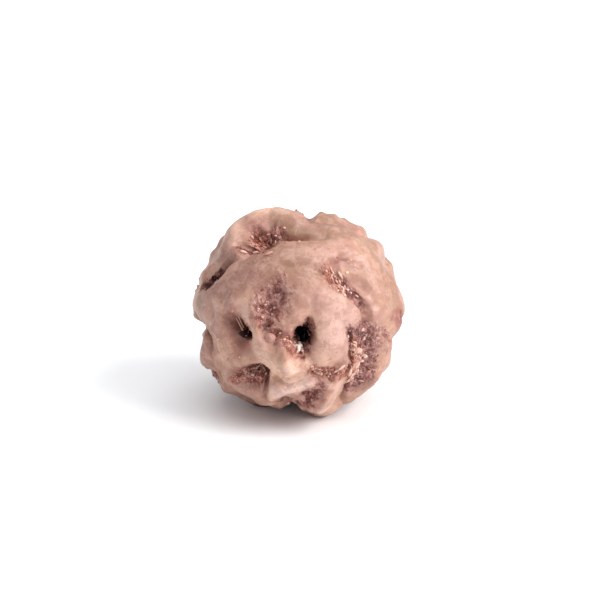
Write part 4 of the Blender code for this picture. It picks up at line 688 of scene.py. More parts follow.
def wash(skin, name):
    """One wash of colour over the whole seed."""
    count, widths, strengths = BACK_WASHES[name]
    turn = 0.7 * (1 + list(BACK_WASHES).index(name))
    paths = [front_hollow(points) for points in FRONT_WASHES[name]]
    seed = SEED + 20 + count
    paths += wandering_features(count, turn, seed, (1, 2, 3), widths, strengths, limit=FRONT_WASH_EDGE)
    return strokes(skin, paths, WASH_REACH)


def fractal(places, scale, octaves=3):
    """Noise of several sizes at each place, around zero, with the places in millimetres."""
    return np.array([noise.fractal(Vector(place) * scale, 0.9, 2.1, octaves) for place in places])


def ragged(cover, places):
    """The cover with a torn edge, from nothing to full."""
    return smooth_step(0.28, 0.72, cover + 0.28 * fractal(places, 1.3) * (cover > 0.02))


def granules(places, size, seed):
    """Rounded grains packed side by side, each about this size in millimetres: one on top, zero between."""
    shift = Vector((seed, 2.3 * seed, -seed))
    warped = [Vector(place) / size + noise.noise_vector(Vector(place) * 1.6) * 0.8 + shift for place in places]
    near = np.array([noise.voronoi(place)[0][:2] for place in warped])
    return np.clip((near[:, 1] - near[:, 0]) * 2.2, 0, 1) * (1 - 0.5 * np.clip(near[:, 0], 0, 1))


def crumble(places, size):
    """The crumbly ground's own height: clumps and ridges of grains with gaps between, from zero to one."""
    clumps = fractal(places, 1.3, 3)
    ridges = 1 - 3.0 * np.abs(fractal(places + 5.0, 1.5, 2))
    return np.clip(0.2 + 0.22 * granules(places, size, 1.7) + 0.6 * clumps + 0.3 * ridges, 0, 1)


def fine_ball(subdivisions, finer_from):
    """Directions and triangles of a ball, split once more where the ground is rough."""
    shape = bmesh.new()
    bmesh.ops.create_icosphere(shape, subdivisions=subdivisions, radius=1.0)
    shape.verts.ensure_lookup_table()
    corners = unit(np.array([corner.co for corner in shape.verts]))
    cover, _ = rough_ground(corners * SKIN_RADIUS)
    rough = {corner.index for corner, share in zip(shape.verts, cover) if share > finer_from}
    edges = [edge for edge in shape.edges if edge.verts[0].index in rough and edge.verts[1].index in rough]
    bmesh.ops.subdivide_edges(shape, edges=edges, cuts=1, use_grid_fill=True)
    bmesh.ops.triangulate(shape, faces=shape.faces)
    for corner in shape.verts:
        corner.co.normalize()
    return shape


def mesh_from_line(name, line):
    """The mesh of a thickened line."""
    guide = bpy.data.objects.new(name, line)
    bpy.context.scene.collection.objects.link(guide)
    mesh = bpy.data.meshes.new_from_object(guide.evaluated_get(bpy.context.evaluated_depsgraph_get()))
    bpy.data.objects.remove(guide, do_unlink=True)
    return mesh


def channel_tube():
    """A slightly bent tube along the seed's axis, from outside the mouth to outside the stalk end."""
    mouth = on_front(*MOUTH)
    sag = Vector((0.02, 0.0, -0.05))
    route = [mouth * 1.3, mouth * 0.6 + sag, sag * 1.6, -mouth * 0.6 + sag, -mouth * 1.3]
    line = bpy.data.curves.new("channel_line", "CURVE")
    line.dimensions = "3D"
    line.bevel_depth = CHANNEL_RADIUS
    line.bevel_resolution = 6
    line.use_fill_caps = True
    strand = line.splines.new("POLY")
    strand.points.add(len(route) - 1)
    for point, spot in zip(strand.points, route):
        point.co = (*(spot * SKIN_RADIUS), 1.0)
    tube = mesh_from_line("channel_line", line)
    shape = bmesh.new()
    shape.from_mesh(tube)
    bmesh.ops.remove_doubles(shape, verts=shape.verts, dist=1e-4)
    bmesh.ops.recalc_face_normals(shape, faces=shape.faces)
    shape.to_mesh(tube)
    shape.free()
    cutter = bpy.data.objects.new("channel_tube", tube)
    bpy.context.scene.collection.objects.link(cutter)
    return cutter


def apply_modifiers(obj):
    """Gives the object the mesh that its modifiers make of it, and takes them off."""
    graph = bpy.context.evaluated_depsgraph_get()
    made = bpy.data.meshes.new_from_object(obj.evaluated_get(graph), depsgraph=graph)
    obj.modifiers.clear()
    old, obj.data = obj.data, made
    bpy.data.meshes.remove(old)
    made.name = obj.name


def corners_of(mesh):
    """The mesh's corners, one row each."""
    places = np.empty(len(mesh.vertices) * 3)
    mesh.vertices.foreach_get("co", places)
    return places.reshape(-1, 3)


def set_corners(mesh, places):
    """Moves the mesh's corners to these rows."""
    mesh.vertices.foreach_set("co", np.ascontiguousarray(places).ravel())
    mesh.update()


def normals_of(mesh):
    """The way the skin faces at each corner."""
    directions = np.empty(len(mesh.vertices) * 3)
    mesh.vertex_normals.foreach_get("vector", directions)
    return directions.reshape(-1, 3)


def store(mesh, name, values):
    """Keeps one number for each corner, for the materials to read."""
    layer = mesh.attributes.new(name, "FLOAT", "POINT")
    layer.data.foreach_set("value", np.asarray(values, np.float32))


def smooth_piece(name, mesh, material):
    """A piece of the seed with smooth shading, riding on its one body."""
    mesh.materials.clear()
    mesh.materials.append(material)
    mesh.shade_smooth()
    piece = bpy.data.objects.get(name) or bpy.data.objects.new(name, mesh)
    if piece.name not in bpy.context.scene.collection.objects:
        bpy.context.scene.collection.objects.link(piece)
    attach(piece, "root")


def middle_of_seed(low, high):
    """Where the relief's middle stands, in millimetres, so that the skin's box has the solid's middle."""
    solid_low, solid_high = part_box("seed")
    shift = [(solid_low[k] + solid_high[k]) / (2 * MM) - (low[k] + high[k]) / 2 for k in (0, 1)]
    return np.array([*shift, REST_HEIGHT])


class Wire:
    """A socket that carries numbers, written as arithmetic: each operator adds its Math node."""

    def __init__(self, paint, socket):
        self.paint = paint
        self.socket = socket

    def math(self, operation, *others, clamp=False):
        values = {index + 1: other for index, other in enumerate(others)}
        node = self.paint.node("ShaderNodeMath", {"operation": operation, "use_clamp": clamp}, {0: self, **values})
        return Wire(self.paint, node.outputs[0])

    def reflected(self, operation, first):
        node = self.paint.node("ShaderNodeMath", {"operation": operation}, {0: first, 1: self})
        return Wire(self.paint, node.outputs[0])

    def __add__(self, other):
        return self.math("ADD", other)

    def __radd__(self, other):
        return self.math("ADD", other)

    def __sub__(self, other):
        return self.math("SUBTRACT", other)

    def __rsub__(self, other):
        return self.reflected("SUBTRACT", other)

    def __mul__(self, other):
        return self.math("MULTIPLY", other)

    def __rmul__(self, other):
        return self.math("MULTIPLY", other)

    def clamped(self):
        return self.math("ADD", 0.0, clamp=True)

    def step(self, low, high):
        """Nothing up to low, one from high on, and smooth between."""
        node = self.paint.node(
            "ShaderNodeMapRange",
            {"interpolation_type": "SMOOTHSTEP"},
            {"Value": self, "From Min": low, "From Max": high},
        )
        return Wire(self.paint, node.outputs[0])


class Paint:
    """A material's nodes, added one by one."""

    def __init__(self, name):
        self.material = bpy.data.materials.new(name)
        self.material.use_nodes = True
        self.tree = self.material.node_tree
        self.surface = self.tree.nodes["Principled BSDF"]
        self.places = self.node("ShaderNodeTexCoord").outputs["Object"]

    def set_socket(self, socket, value):
        if isinstance(value, Wire):
            value = value.socket
        if isinstance(value, bpy.types.NodeSocket):
            self.tree.links.new(value, socket)
        else:
            socket.default_value = value

    def node(self, kind, settings=None, values=None):
        """A node of this type, with its settings set first and then its sockets' values or links."""
        made = self.tree.nodes.new(kind)
        for name, value in (settings or {}).items():
            setattr(made, name, value)
        for name, value in (values or {}).items():
            self.set_socket(made.inputs[name], value)
        return made

    def finish(self, values):
        """Sets the shader's own sockets."""
        for name, value in values.items():
            self.set_socket(self.surface.inputs[name], value)
        return self.material

    def kept(self, name):
        """A number kept with the mesh."""
        return Wire(self, self.node("ShaderNodeAttribute", {"attribute_name": name}).outputs["Fac"])

    def noise(self, size, detail=3.0, roughness=0.55, distortion=0.0):
        """Noise with features about this size, in metres."""
        node = self.node(
            "ShaderNodeTexNoise",
            {"noise_dimensions": "3D"},
            {
                "Vector": self.places,
                "Scale": 1.0 / size,
                "Detail": detail,
                "Roughness": roughness,
                "Distortion": distortion,
            },
        )
        return Wire(self, node.outputs["Fac"])

    def cells(self, size, feature="F1"):
        """Distance to cells about this size, in metres."""
        node = self.node("ShaderNodeTexVoronoi", {"feature": feature}, {"Vector": self.places, "Scale": 1.0 / size})
        return Wire(self, node.outputs["Distance"])

    def mix(self, share, first, second):
        """The second colour laid over the first: 6 and 7 are the node's colour sockets, 2 its colour result."""
        node = self.node(
            "ShaderNodeMix", {"data_type": "RGBA", "clamp_factor": True}, {"Factor": share, 6: first, 7: second}
        )
        return node.outputs[2]

    def bump(self, height, strength, distance, normal=None):
        """Small unevenness that stays in the shading, over the skin's own normal or another bump's."""
        values = {"Height": height, "Strength": strength, "Distance": distance}
        if normal is not None:
            values["Normal"] = normal
        return self.node("ShaderNodeBump", {}, values).outputs["Normal"]


# the washes that middling noise breaks up, in the order they are laid: their least share and what it adds
WASH_ORDER = (
    ("pale", 0.35, 0.9),
    ("cream", 0.5, 0.8),
    ("milky", 0.5, 0.8),
    ("olive_and_shade", 0.55, 0.8),
    ("mauve_and_shade", 0.5, 0.8),
    ("ruddy", 0.5, 0.8),
)
CRUMB_SIZE = 0.24 * MM      # the finest crumbs of the rough ground


def skin_material(look):
    """Waxy skin with soft washes, brown specks and crumbly ground, over the whole seed, with painted shade in its
    hollows and holes.
    """
    paint = Paint("waxy_shell")
    rough, rust, depth, speckled, crumb, painted_hole_mask = (
        paint.kept(name) for name in ("rough", "rust", "depth", "speckled", "crumb", "painted_hole_mask")
    )
    broad = paint.noise(2.4 * MM, 2.0)
    middling = paint.noise(0.75 * MM, 4.0, 0.6)
    fine = paint.noise(0.22 * MM, 3.0, 0.65)

    # the smooth skin: its ground colour, the washes laid over it one by one, some partly painted shade, then blotches,
    # specks, veins and painted glints
    skin = paint.mix((broad * 0.75 + middling * 0.45).step(0.42, 0.78), look.rose, look.tan)
    skin = paint.mix(paint.kept("tan") * (0.55 + broad * 0.6), skin, look.tan)
    for name, least, more in WASH_ORDER:
        skin = paint.mix(paint.kept(name) * (least + middling * more), skin, getattr(look, name))
    blotch = paint.noise(0.9 * MM, 5.0, 0.68, 0.5)
    skin = paint.mix(blotch.step(0.45, 0.61) * (0.33 + speckled * 0.2), skin, look.mauve_and_shade)
    skin = paint.mix((1 - blotch).step(0.48, 0.63) * 0.38, skin, look.pale)
    skin = paint.mix((fine * 0.8 + middling * 0.3).step(0.52, 0.72) * 0.25, skin, look.ruddy)
    dots = paint.noise(0.42 * MM, 3.0, 0.7, 0.6)
    speck = (dots + fine * 0.3 + speckled * 0.06).step(0.78, 0.9)
    skin = paint.mix(speck * (0.3 + speckled * 0.45), skin, look.speck)
    veins = 1 - (paint.noise(0.5 * MM, 3.0, 0.6, 0.8) - 0.5).math("ABSOLUTE") * 14
    skin = paint.mix(veins.clamped() * (0.05 + speckled * 0.22), skin, look.mauve_and_shade)
    # painted highlights: small pale glints on the wax
    glint = paint.noise(0.3 * MM, 2.0, 0.5)
    skin = paint.mix((glint + broad * 0.2).step(0.8, 0.86) * 0.35, skin, look.pale)
    # the hollows redden and darken with their depth: partly the pits' own red-brown, partly painted shade
    skin = paint.mix(depth.step(-0.15, 0.9) * 0.75, skin, look.ruddy)

    # the crumbly ground, mauve or rusty, with painted shade in the gaps and low places and painted highlights on the
    # tops
    cell = paint.cells(CRUMB_SIZE)
    gap = paint.cells(CRUMB_SIZE, "DISTANCE_TO_EDGE")
    grit = paint.noise(0.13 * MM, 2.0, 0.6)
    edge = (rough + (middling - 0.5) * 1.5 + (fine - 0.5) * 1.1).step(0.16, 0.82)
    # lighter where the crumbs stand high: partly painted light on their tops
    lightness = (crumb * 0.6 + grit * 0.3 + middling * 0.5).step(0.35, 1.0)
    mauve = paint.mix(lightness, look.mauve, look.pale_mauve)
    rusty = paint.mix(lightness, look.rust, look.pale_rust)
    crumbs = paint.mix((rust + (broad - 0.5) * 0.9).step(0.2, 0.75), mauve, rusty)
    # painted shade between the crumbs and in their low places
    crumbs = paint.mix((1 - gap.step(0.0, 0.14)) * 0.2, crumbs, look.gap)
    crumbs = paint.mix((1 - (crumb + (fine - 0.5) * 0.5).step(0.1, 0.42)) * 0.55, crumbs, look.gap)
    # painted highlights on the highest crumbs
    crumbs = paint.mix((crumb + (fine - 0.5) * 0.6).step(0.72, 0.95) * 0.55, crumbs, look.bright_crumb)

    # the two together, then painted shade: brown in the shaded hollows and near-black in the deep holes
    shade = paint.mix(edge * 0.92, skin, crumbs)
    # painted shade: brown laid in the shaded pits, gaps and creases
    shade = paint.mix(paint.kept("painted_shade") * (0.55 + fine * 0.7), shade, look.painted_shade)
    # painted shade: the deepest places and the openings go near-black
    shade = paint.mix(depth.step(0.8, 1.7), shade, look.hole_shade)
    hole_shade_share = (painted_hole_mask + (fine - 0.5) * 0.6).step(0.3, 0.6)
    shade = paint.mix(hole_shade_share, shade, look.hole_shade)

    waxy = 0.36 + fine * 0.14 + (1 - broad) * 0.08
    roughness = waxy + edge * 0.3 + hole_shade_share * 0.4
    smooth_height = middling * 0.5 + fine * 0.25
    crumb_height = grit * 0.7 + gap.step(0.0, 0.2) * 0.6 - cell * 0.8
    normal = paint.bump(smooth_height, 0.6, 0.07 * MM)
    normal = paint.bump(crumb_height * edge, 0.9, 0.09 * MM, normal)
    return paint.finish({
        "Base Color": shade,
        "Roughness": roughness,
        "Normal": normal,
        "IOR": 1.45,
        "Specular IOR Level": 0.4,
        "Subsurface Weight": look.glow,
        "Subsurface Radius": (1.0, 0.42, 0.28),
        "Subsurface Scale": 0.5 * MM,
        "Coat Weight": (1 - edge) * (1 - hole_shade_share) * 0.12,
        "Coat Roughness": 0.3,
    })


def fibre_material(name, look):
    """Woody fibre, mauve or rusty like the ground it grows from, rubbed darker in streaks."""
    paint = Paint(name)
    lightness, rust = paint.kept("lightness"), paint.kept("rust")
    streak = paint.noise(0.16 * MM, 3.0, 0.6)
    share = (lightness + (streak - 0.5) * 0.5).step(0.0, 1.0)
    mauve = paint.mix(share, look.dark_mauve, look.light_mauve)
    rusty = paint.mix(share, look.dark_rust, look.light_rust)
    body = paint.mix(rust, mauve, rusty)
    body = paint.mix((lightness - 1.0).step(0.0, 0.3), body, look.white)
    body = paint.mix(paint.noise(0.4 * MM, 2.0).step(0.55, 0.75) * 0.45, body, look.rub)
    return paint.finish({
        "Base Color": body,
        "Roughness": 0.5 + streak * 0.2,
        "Normal": paint.bump(streak, 0.5, 0.03 * MM),
        "Specular IOR Level": 0.35,
        "Subsurface Weight": 0.2,
        "Subsurface Radius": (1.0, 0.5, 0.35),
        "Subsurface Scale": 0.35 * MM,
    })


def bored_skin(look):
    """The finer ball with its relief, and the channel cut through it, around the seed's middle."""
    shape = fine_ball(look.subdivisions, look.finer_from)
    mesh = bpy.data.meshes.new("seed_skin")
    shape.to_mesh(mesh)
    shape.free()
    directions = unit(corners_of(mesh))
    set_corners(mesh, directions * (SKIN_RADIUS + relief(directions))[:, None])
    skin = bpy.data.objects.new("seed_skin", mesh)
    bpy.context.scene.collection.objects.link(skin)
    tube = channel_tube()
    cut = skin.modifiers.new("channel", "BOOLEAN")
    cut.operation = "DIFFERENCE"
    cut.solver = "EXACT"
    cut.object = tube
    apply_modifiers(skin)
    bpy.data.objects.remove(tube, do_unlink=True)
    return skin


# heights and places on the skin, in millimetres
UNEVENNESS = 0.05           # how far the smooth skin rises and falls
STILL_BELOW = -8.8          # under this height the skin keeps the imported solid's shape
ROUGH_ABOVE = -8.2          # over this height it has all its crumbs and unevenness
CRUMBLY_FROM = 0.02         # the share of rough ground from which crumbs are worked out


def build_skin(look):
    """The skin's mesh in place over the table, with what its material reads kept at each corner."""
    skin = bored_skin(look)
    mesh = skin.data
    places = corners_of(mesh)
    shift = middle_of_seed(places.min(axis=0), places.max(axis=0))
    directions = unit(places)
    ball = directions * SKIN_RADIUS
    cover, rust = rough_ground(ball)
    crumbly = ragged(cover, places)
    depth = SKIN_RADIUS - 0.1 - np.linalg.norm(places, axis=1)
    grain = np.zeros(len(places))
    rough = np.flatnonzero(crumbly > CRUMBLY_FROM)
    grain[rough] = crumble(places[rough], look.grain_size / MM)
    height = (grain - 0.5) * crumbly * look.grain_height / MM
    height += UNEVENNESS * fractal(places, 0.9, 4)
    height *= smooth_step(STILL_BELOW, ROUGH_ABOVE, places[:, 2])
    places = places + normals_of(mesh) * height[:, None]
    on_table = (places + shift) * MM
    on_table[:, 2] = np.maximum(on_table[:, 2], 0.0)
    set_corners(mesh, on_table)
    # painted shade over the openings
    painted_hole_mask = strokes(ball, [front_hollow(points) for points in HOLE_SHADE_STROKES])
    for name, values in (("rough", cover), ("rust", rust), ("depth", depth), ("crumb", grain), ("painted_hole_mask", painted_hole_mask)):
        store(mesh, name, values)
    for name in FRONT_WASHES:
        store(mesh, name, wash(ball, name))
    skin["middle"] = list(shift * MM)
    smooth_piece("seed_skin", mesh, skin_material(look))
    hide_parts("seed")


BARE_BELOW = 0.6 * MM       # nothing is planted so close to the table
VIEW_FROM = 20              # how far out the front map's viewer looks in from, in millimetres
NEAR_LIMB = 4               # where the skin is sought past the outline, in millimetres towards the viewer


class Ground:
    """The finished skin, to stand fibres and grains on."""

    def __init__(self):
        self.skin = bpy.data.objects["seed_skin"]
        mesh = self.skin.data
        mesh.calc_loop_triangles()
        self.places = corners_of(mesh)
        triangles = np.empty(len(mesh.loop_triangles) * 3, np.int32)
        mesh.loop_triangles.foreach_get("vertices", triangles)
        self.triangles = triangles.reshape(-1, 3)
        self.middle = np.array(self.skin["middle"])
        corners = self.places[self.triangles]
        cross = np.cross(corners[:, 1] - corners[:, 0], corners[:, 2] - corners[:, 0])
        self.areas = np.linalg.norm(cross, axis=1) / 2
        self.facing = cross / np.maximum(np.linalg.norm(cross, axis=1, keepdims=True), 1e-20)
        self.centres = corners.mean(axis=1)
        self.ball = unit(self.centres - self.middle) * SKIN_RADIUS
        self.tree = BVHTree.FromPolygons(self.places.tolist(), self.triangles.tolist())

    def kept(self, name):
        """The number that the skin keeps under this name, at each triangle."""
        values = np.empty(len(self.places), np.float32)
        self.skin.data.attributes[name].data.foreach_get("value", values)
        return values[self.triangles].mean(axis=1)

    def scatter(self, share, count, draw):
        """Spots drawn at random where the share is high: their places, facings and triangles."""
        weight = self.areas * np.clip(share, 0, None) * (self.centres[:, 2] > BARE_BELOW)
        chosen = draw.choice(len(weight), size=count, p=weight / weight.sum())
        mixed = draw.dirichlet((1, 1, 1), size=count)
        spots = (self.places[self.triangles[chosen]] * mixed[:, :, None]).sum(axis=1)
        return spots, self.facing[chosen], chosen

    def seen(self, across, up):
        """The place and facing of the skin that is seen at a point of the front map."""
        toward, right, high = front_axes()
        start = Vector(self.middle) + (right * across + high * up + toward * VIEW_FROM) * MM
        place, facing, _, _ = self.tree.ray_cast(start, -toward)
        if place is None:
            place, facing, _, _ = self.tree.find_nearest(start - toward * (VIEW_FROM - NEAR_LIMB) * MM)
        return place, facing


def front_axes():
    """The front map's lines: towards the viewer, across and up."""
    tilt = math.radians(FRONT_TILT)
    return (
        Vector((0.0, -math.cos(tilt), math.sin(tilt))),
        Vector((1.0, 0.0, 0.0)),
        Vector((0.0, math.sin(tilt), math.cos(tilt))),
    )


# a fibre's rings: where each stands along it, and how wide it is there
RING_SHARES = (0.12, 0.4, 0.72, 0.93)
RING_WIDTHS = (0.62, 1.0, 0.85, 0.45)
FIBRE_SIDES = 6


def rod_faces(last_corner):
    """One rod's triangles: a tip, the rings and a tip again."""
    faces = []
    for side in range(FIBRE_SIDES):
        after = (side + 1) % FIBRE_SIDES
        faces.append((0, 1 + after, 1 + side))
        for ring in range(len(RING_WIDTHS) - 1):
            low, high = 1 + ring * FIBRE_SIDES, 1 + (ring + 1) * FIBRE_SIDES
            faces.append((low + side, low + after, high + after))
            faces.append((low + side, high + after, high + side))
        last = 1 + (len(RING_WIDTHS) - 1) * FIBRE_SIDES
        faces.append((last + side, last + after, last_corner))
    return np.array(faces)


def repeated(faces, count, per_body):
    """The same faces for each of so many like bodies, one after another."""
    return (faces[None] + (np.arange(count) * per_body)[:, None, None]).reshape(-1, 3)


def spindles(spots, along, outward, lengths, widths, flatness, bends):
    """Tapered rods, all in one list of corners and faces: each lies along a line and bends outward a little."""
    third = np.cross(along, outward)
    lines = []
    for share in np.array((0.0, *RING_SHARES, 1.0)):
        arch = 4 * share * (1 - share)
        lines.append(spots + along * (lengths * (share - 0.5))[:, None] + outward * (bends * lengths * arch)[:, None])
    corners = [lines[0][:, None, :]]
    turns = np.arange(FIBRE_SIDES) * 2 * math.pi / FIBRE_SIDES
    for line, width in zip(lines[1:-1], RING_WIDTHS):
        flat = widths[:, None] * width * flatness[:, None] * np.cos(turns)
        wide = widths[:, None] * width * np.sin(turns)
        ring = outward[:, None, :] * flat[:, :, None] + third[:, None, :] * wide[:, :, None]
        corners.append(line[:, None, :] + ring)
    corners.append(lines[-1][:, None, :])
    corners = np.concatenate(corners, axis=1)
    per_rod = corners.shape[1]
    return corners.reshape(-1, 3), repeated(rod_faces(per_rod - 1), len(spots), per_rod), per_rod


def mesh_of(name, corners, faces):
    """A mesh of these corners and faces."""
    mesh = bpy.data.meshes.new(name)
    mesh.from_pydata(corners.tolist(), [], faces.tolist())
    mesh.update()
    return mesh


def flat_on(direction, facing):
    """The part of each direction that lies in the skin."""
    return unit(direction - facing * (direction * facing).sum(axis=1, keepdims=True) + 1e-9)


BACK_FIBRE = (0.42, 0.052, 0.3)     # length and half-thickness in millimetres, and lightness


def plant_fibres(look):
    """The woody fibres that line the pits and troughs."""
    ground = Ground()
    draw = np.random.default_rng(SEED + 40)
    toward, right, high = (np.array(axis) for axis in front_axes())
    in_sight = ground.facing @ toward > -0.3
    rust = ground.kept("rust")
    beds = []
    for count, length, width, lightness, source, path in FIBRE_BEDS.values():
        share = strokes(ground.ball, [front_hollow(path)]) ** 2 * in_sight
        spots, facing, chosen = ground.scatter(share, count, draw)
        start = ground.middle + (right * source[0] + high * source[1]) * MM
        heading = spots - start
        heading -= toward * (heading @ toward)[:, None]
        heading = unit(heading) + draw.normal(0, 0.35, (count, 3))
        beds.append((spots, facing, heading, length, width, lightness, rust[chosen]))
    behind = ground.kept("rough") * (ground.facing @ toward < 0.25) * (ground.ball @ toward < 1.5)
    spots, facing, chosen = ground.scatter(behind**2, look.back_fibres, draw)
    heading = unit(draw.normal(0, 1, (look.back_fibres, 3)))
    beds.append((spots, facing, heading, *BACK_FIBRE, rust[chosen]))
    corners, faces, tones, tints, offset = [], [], [], [], 0
    for spots, facing, heading, length, width, lightness, rusty in beds:
        count = len(spots)
        along = flat_on(heading, facing) + facing * draw.uniform(-0.1, 0.3, count)[:, None]
        along = unit(along)
        outward = flat_on(facing, along)
        lengths = length * MM * draw.uniform(0.55, 1.35, count)
        widths = width * MM * draw.uniform(0.7, 1.4, count)
        sunk = spots + facing * (widths * draw.uniform(-0.4, 0.5, count))[:, None]
        flatness, bends = draw.uniform(0.6, 1.0, count), draw.uniform(-0.05, 0.14, count)
        rods = spindles(sunk, along, outward, lengths, widths, flatness, bends)
        corners.append(rods[0])
        faces.append(rods[1] + offset)
        offset += len(rods[0])
        tones.append(np.repeat(lightness + draw.normal(0, 0.18, count), rods[2]))
        tints.append(np.repeat(rusty, rods[2]))
    mesh = mesh_of("pit_fibres", np.concatenate(corners), np.concatenate(faces))
    store(mesh, "lightness", np.concatenate(tones))
    store(mesh, "rust", np.concatenate(tints))
    smooth_piece("pit_fibres", mesh, fibre_material("pit_fibre", look))


def seen_rows(ground, rows):
    """The places and facings of the skin that is seen where each row's first two numbers say."""
    return (np.array(rows_of) for rows_of in zip(*(ground.seen(*row[:2]) for row in rows)))


def plant_chips(look):
    """The single bright chips."""
    ground = Ground()
    draw = np.random.default_rng(SEED + 50)
    _, right, high = (np.array(axis) for axis in front_axes())
    spots, facing = seen_rows(ground, CHIPS)
    _, _, lengths, widths, turns, tones = (np.array(column) for column in zip(*CHIPS))
    lengths, widths, turns = lengths * MM, widths * MM, np.radians(turns)[:, None]
    along = flat_on(right * np.cos(turns) + high * np.sin(turns), facing)
    outward = flat_on(facing, along)
    count = len(spots)
    flatness, bends = draw.uniform(0.7, 0.95, count), draw.uniform(0.0, 0.1, count)
    raised = spots + facing * (widths * 0.3)[:, None]
    corners, faces, per_chip = spindles(raised, along, outward, lengths, widths, flatness, bends)
    mesh = mesh_of("bright_chips", corners, faces)
    roughen = np.array([noise.noise_vector(Vector(place) / (0.22 * MM)) for place in corners_of(mesh)])
    set_corners(mesh, corners_of(mesh) + roughen * 0.035 * MM)
    store(mesh, "lightness", np.repeat(tones, per_chip))
    store(mesh, "rust", np.full(len(mesh.vertices), 0.7))
    smooth_piece("bright_chips", mesh, fibre_material("bright_chip", look))


def strand_lines(ground):
    """Thin round strands from rim to rim of the holes."""
    toward, _, _ = front_axes()
    line = bpy.data.curves.new("hole_strands", "CURVE")
    line.dimensions = "3D"
    line.resolution_u = 8
    line.bevel_depth = 1.0
    line.bevel_resolution = 3
    line.use_fill_caps = True
    for width, points in STRANDS:
        strand = line.splines.new("NURBS")
        strand.points.add(len(points) - 1)
        strand.use_endpoint_u = True
        strand.order_u = 3
        for point, (across, up, out) in zip(strand.points, points):
            place, _ = ground.seen(across, up)
            point.co = (*(place + toward * out * MM), 1.0)
            point.radius = width * MM
    return line


def plant_strands(look):
    """The strands across the holes."""
    mesh = mesh_from_line("strand_line", strand_lines(Ground()))
    mesh.name = "hole_strands"
    store(mesh, "lightness", np.full(len(mesh.vertices), 0.6))
    store(mesh, "rust", np.full(len(mesh.vertices), 0.7))
    smooth_piece("hole_strands", mesh, fibre_material("hole_strand", look))


def lumps(spots, sizes, draw, subdivisions):
    """Small irregular grains, each a stretched and dented ball of its own size."""
    shape = bmesh.new()
    bmesh.ops.create_icosphere(shape, subdivisions=subdivisions, radius=1.0)
    shape.verts.ensure_lookup_table()
    ball = np.array([corner.co for corner in shape.verts])
    triangles = np.array([[corner.index for corner in face.verts] for face in shape.faces])
    shape.free()
    count = len(spots)
    turned = np.linalg.qr(draw.normal(0, 1, (count, 3, 3)))[0]
    turned *= np.sign(np.linalg.det(turned))[:, None, None]
    stretch = draw.uniform(0.65, 1.25, (count, 1, 3))
    wobble = 1 + draw.normal(0, 0.07, (count, len(ball), 1))
    grains = np.einsum("cij,cvj->cvi", turned, ball[None] * stretch * wobble)
    corners = spots[:, None, :] + grains * sizes[:, None, None]
    return corners.reshape(-1, 3), repeated(triangles, count, len(ball)), len(ball)


def plant_grains(look):
    """The light and dark grains of the crumbly ground."""
    ground = Ground()
    draw = np.random.default_rng(SEED + 60)
    cover = smooth_step(0.35, 0.8, ground.kept("rough"))
    hidden = smooth_step(1.2, 2.2, ground.kept("depth"))
    spots, facing, chosen = ground.scatter(cover * (1 - hidden), look.grains, draw)
    sizes = look.grain_radius * draw.lognormal(0, 0.3, look.grains)
    sizes = np.minimum(sizes, 2 * look.grain_radius)
    corners, faces, per_grain = lumps(spots + facing * (sizes * 0.1)[:, None], sizes, draw, 2)
    mesh = mesh_of("pit_grains", corners, faces)
    store(mesh, "lightness", np.repeat(draw.uniform(0.0, 0.85, look.grains) ** 2.2, per_grain))
    store(mesh, "rust", np.repeat(ground.kept("rust")[chosen], per_grain))
    smooth_piece("pit_grains", mesh, fibre_material("pit_grain", look))


def plant_beads(look):
    """The few round beads that stand in the pits and on the nodule."""
    draw = np.random.default_rng(SEED + 70)
    spots, facing = seen_rows(Ground(), BEADS)
    _, _, sizes, tones = (np.array(column) for column in zip(*BEADS))
    sizes = sizes * MM
    corners, faces, per_bead = lumps(spots - facing * (sizes * 0.35)[:, None], sizes, draw, 4)
    mesh = mesh_of("pit_beads", corners, faces)
    store(mesh, "lightness", np.repeat(tones, per_bead))
    store(mesh, "rust", np.full(len(mesh.vertices), 0.6))
    smooth_piece("pit_beads", mesh, fibre_material("pit_bead", look))


def colour(name, description, default):
    """A colour setting."""
    return FloatVectorProperty(
        name=name, description=description, default=(*default, 1.0), size=4, subtype="COLOR", min=0.0, max=1.0
    )


def length(name, description, default):
    """A length setting."""
    return FloatProperty(name=name, description=description, default=default, unit="LENGTH", precision=5)


def angle(name, description, degrees):
    """An angle setting, with its default in degrees."""
    return FloatProperty(name=name, description=description, default=math.radians(degrees), subtype="ANGLE")


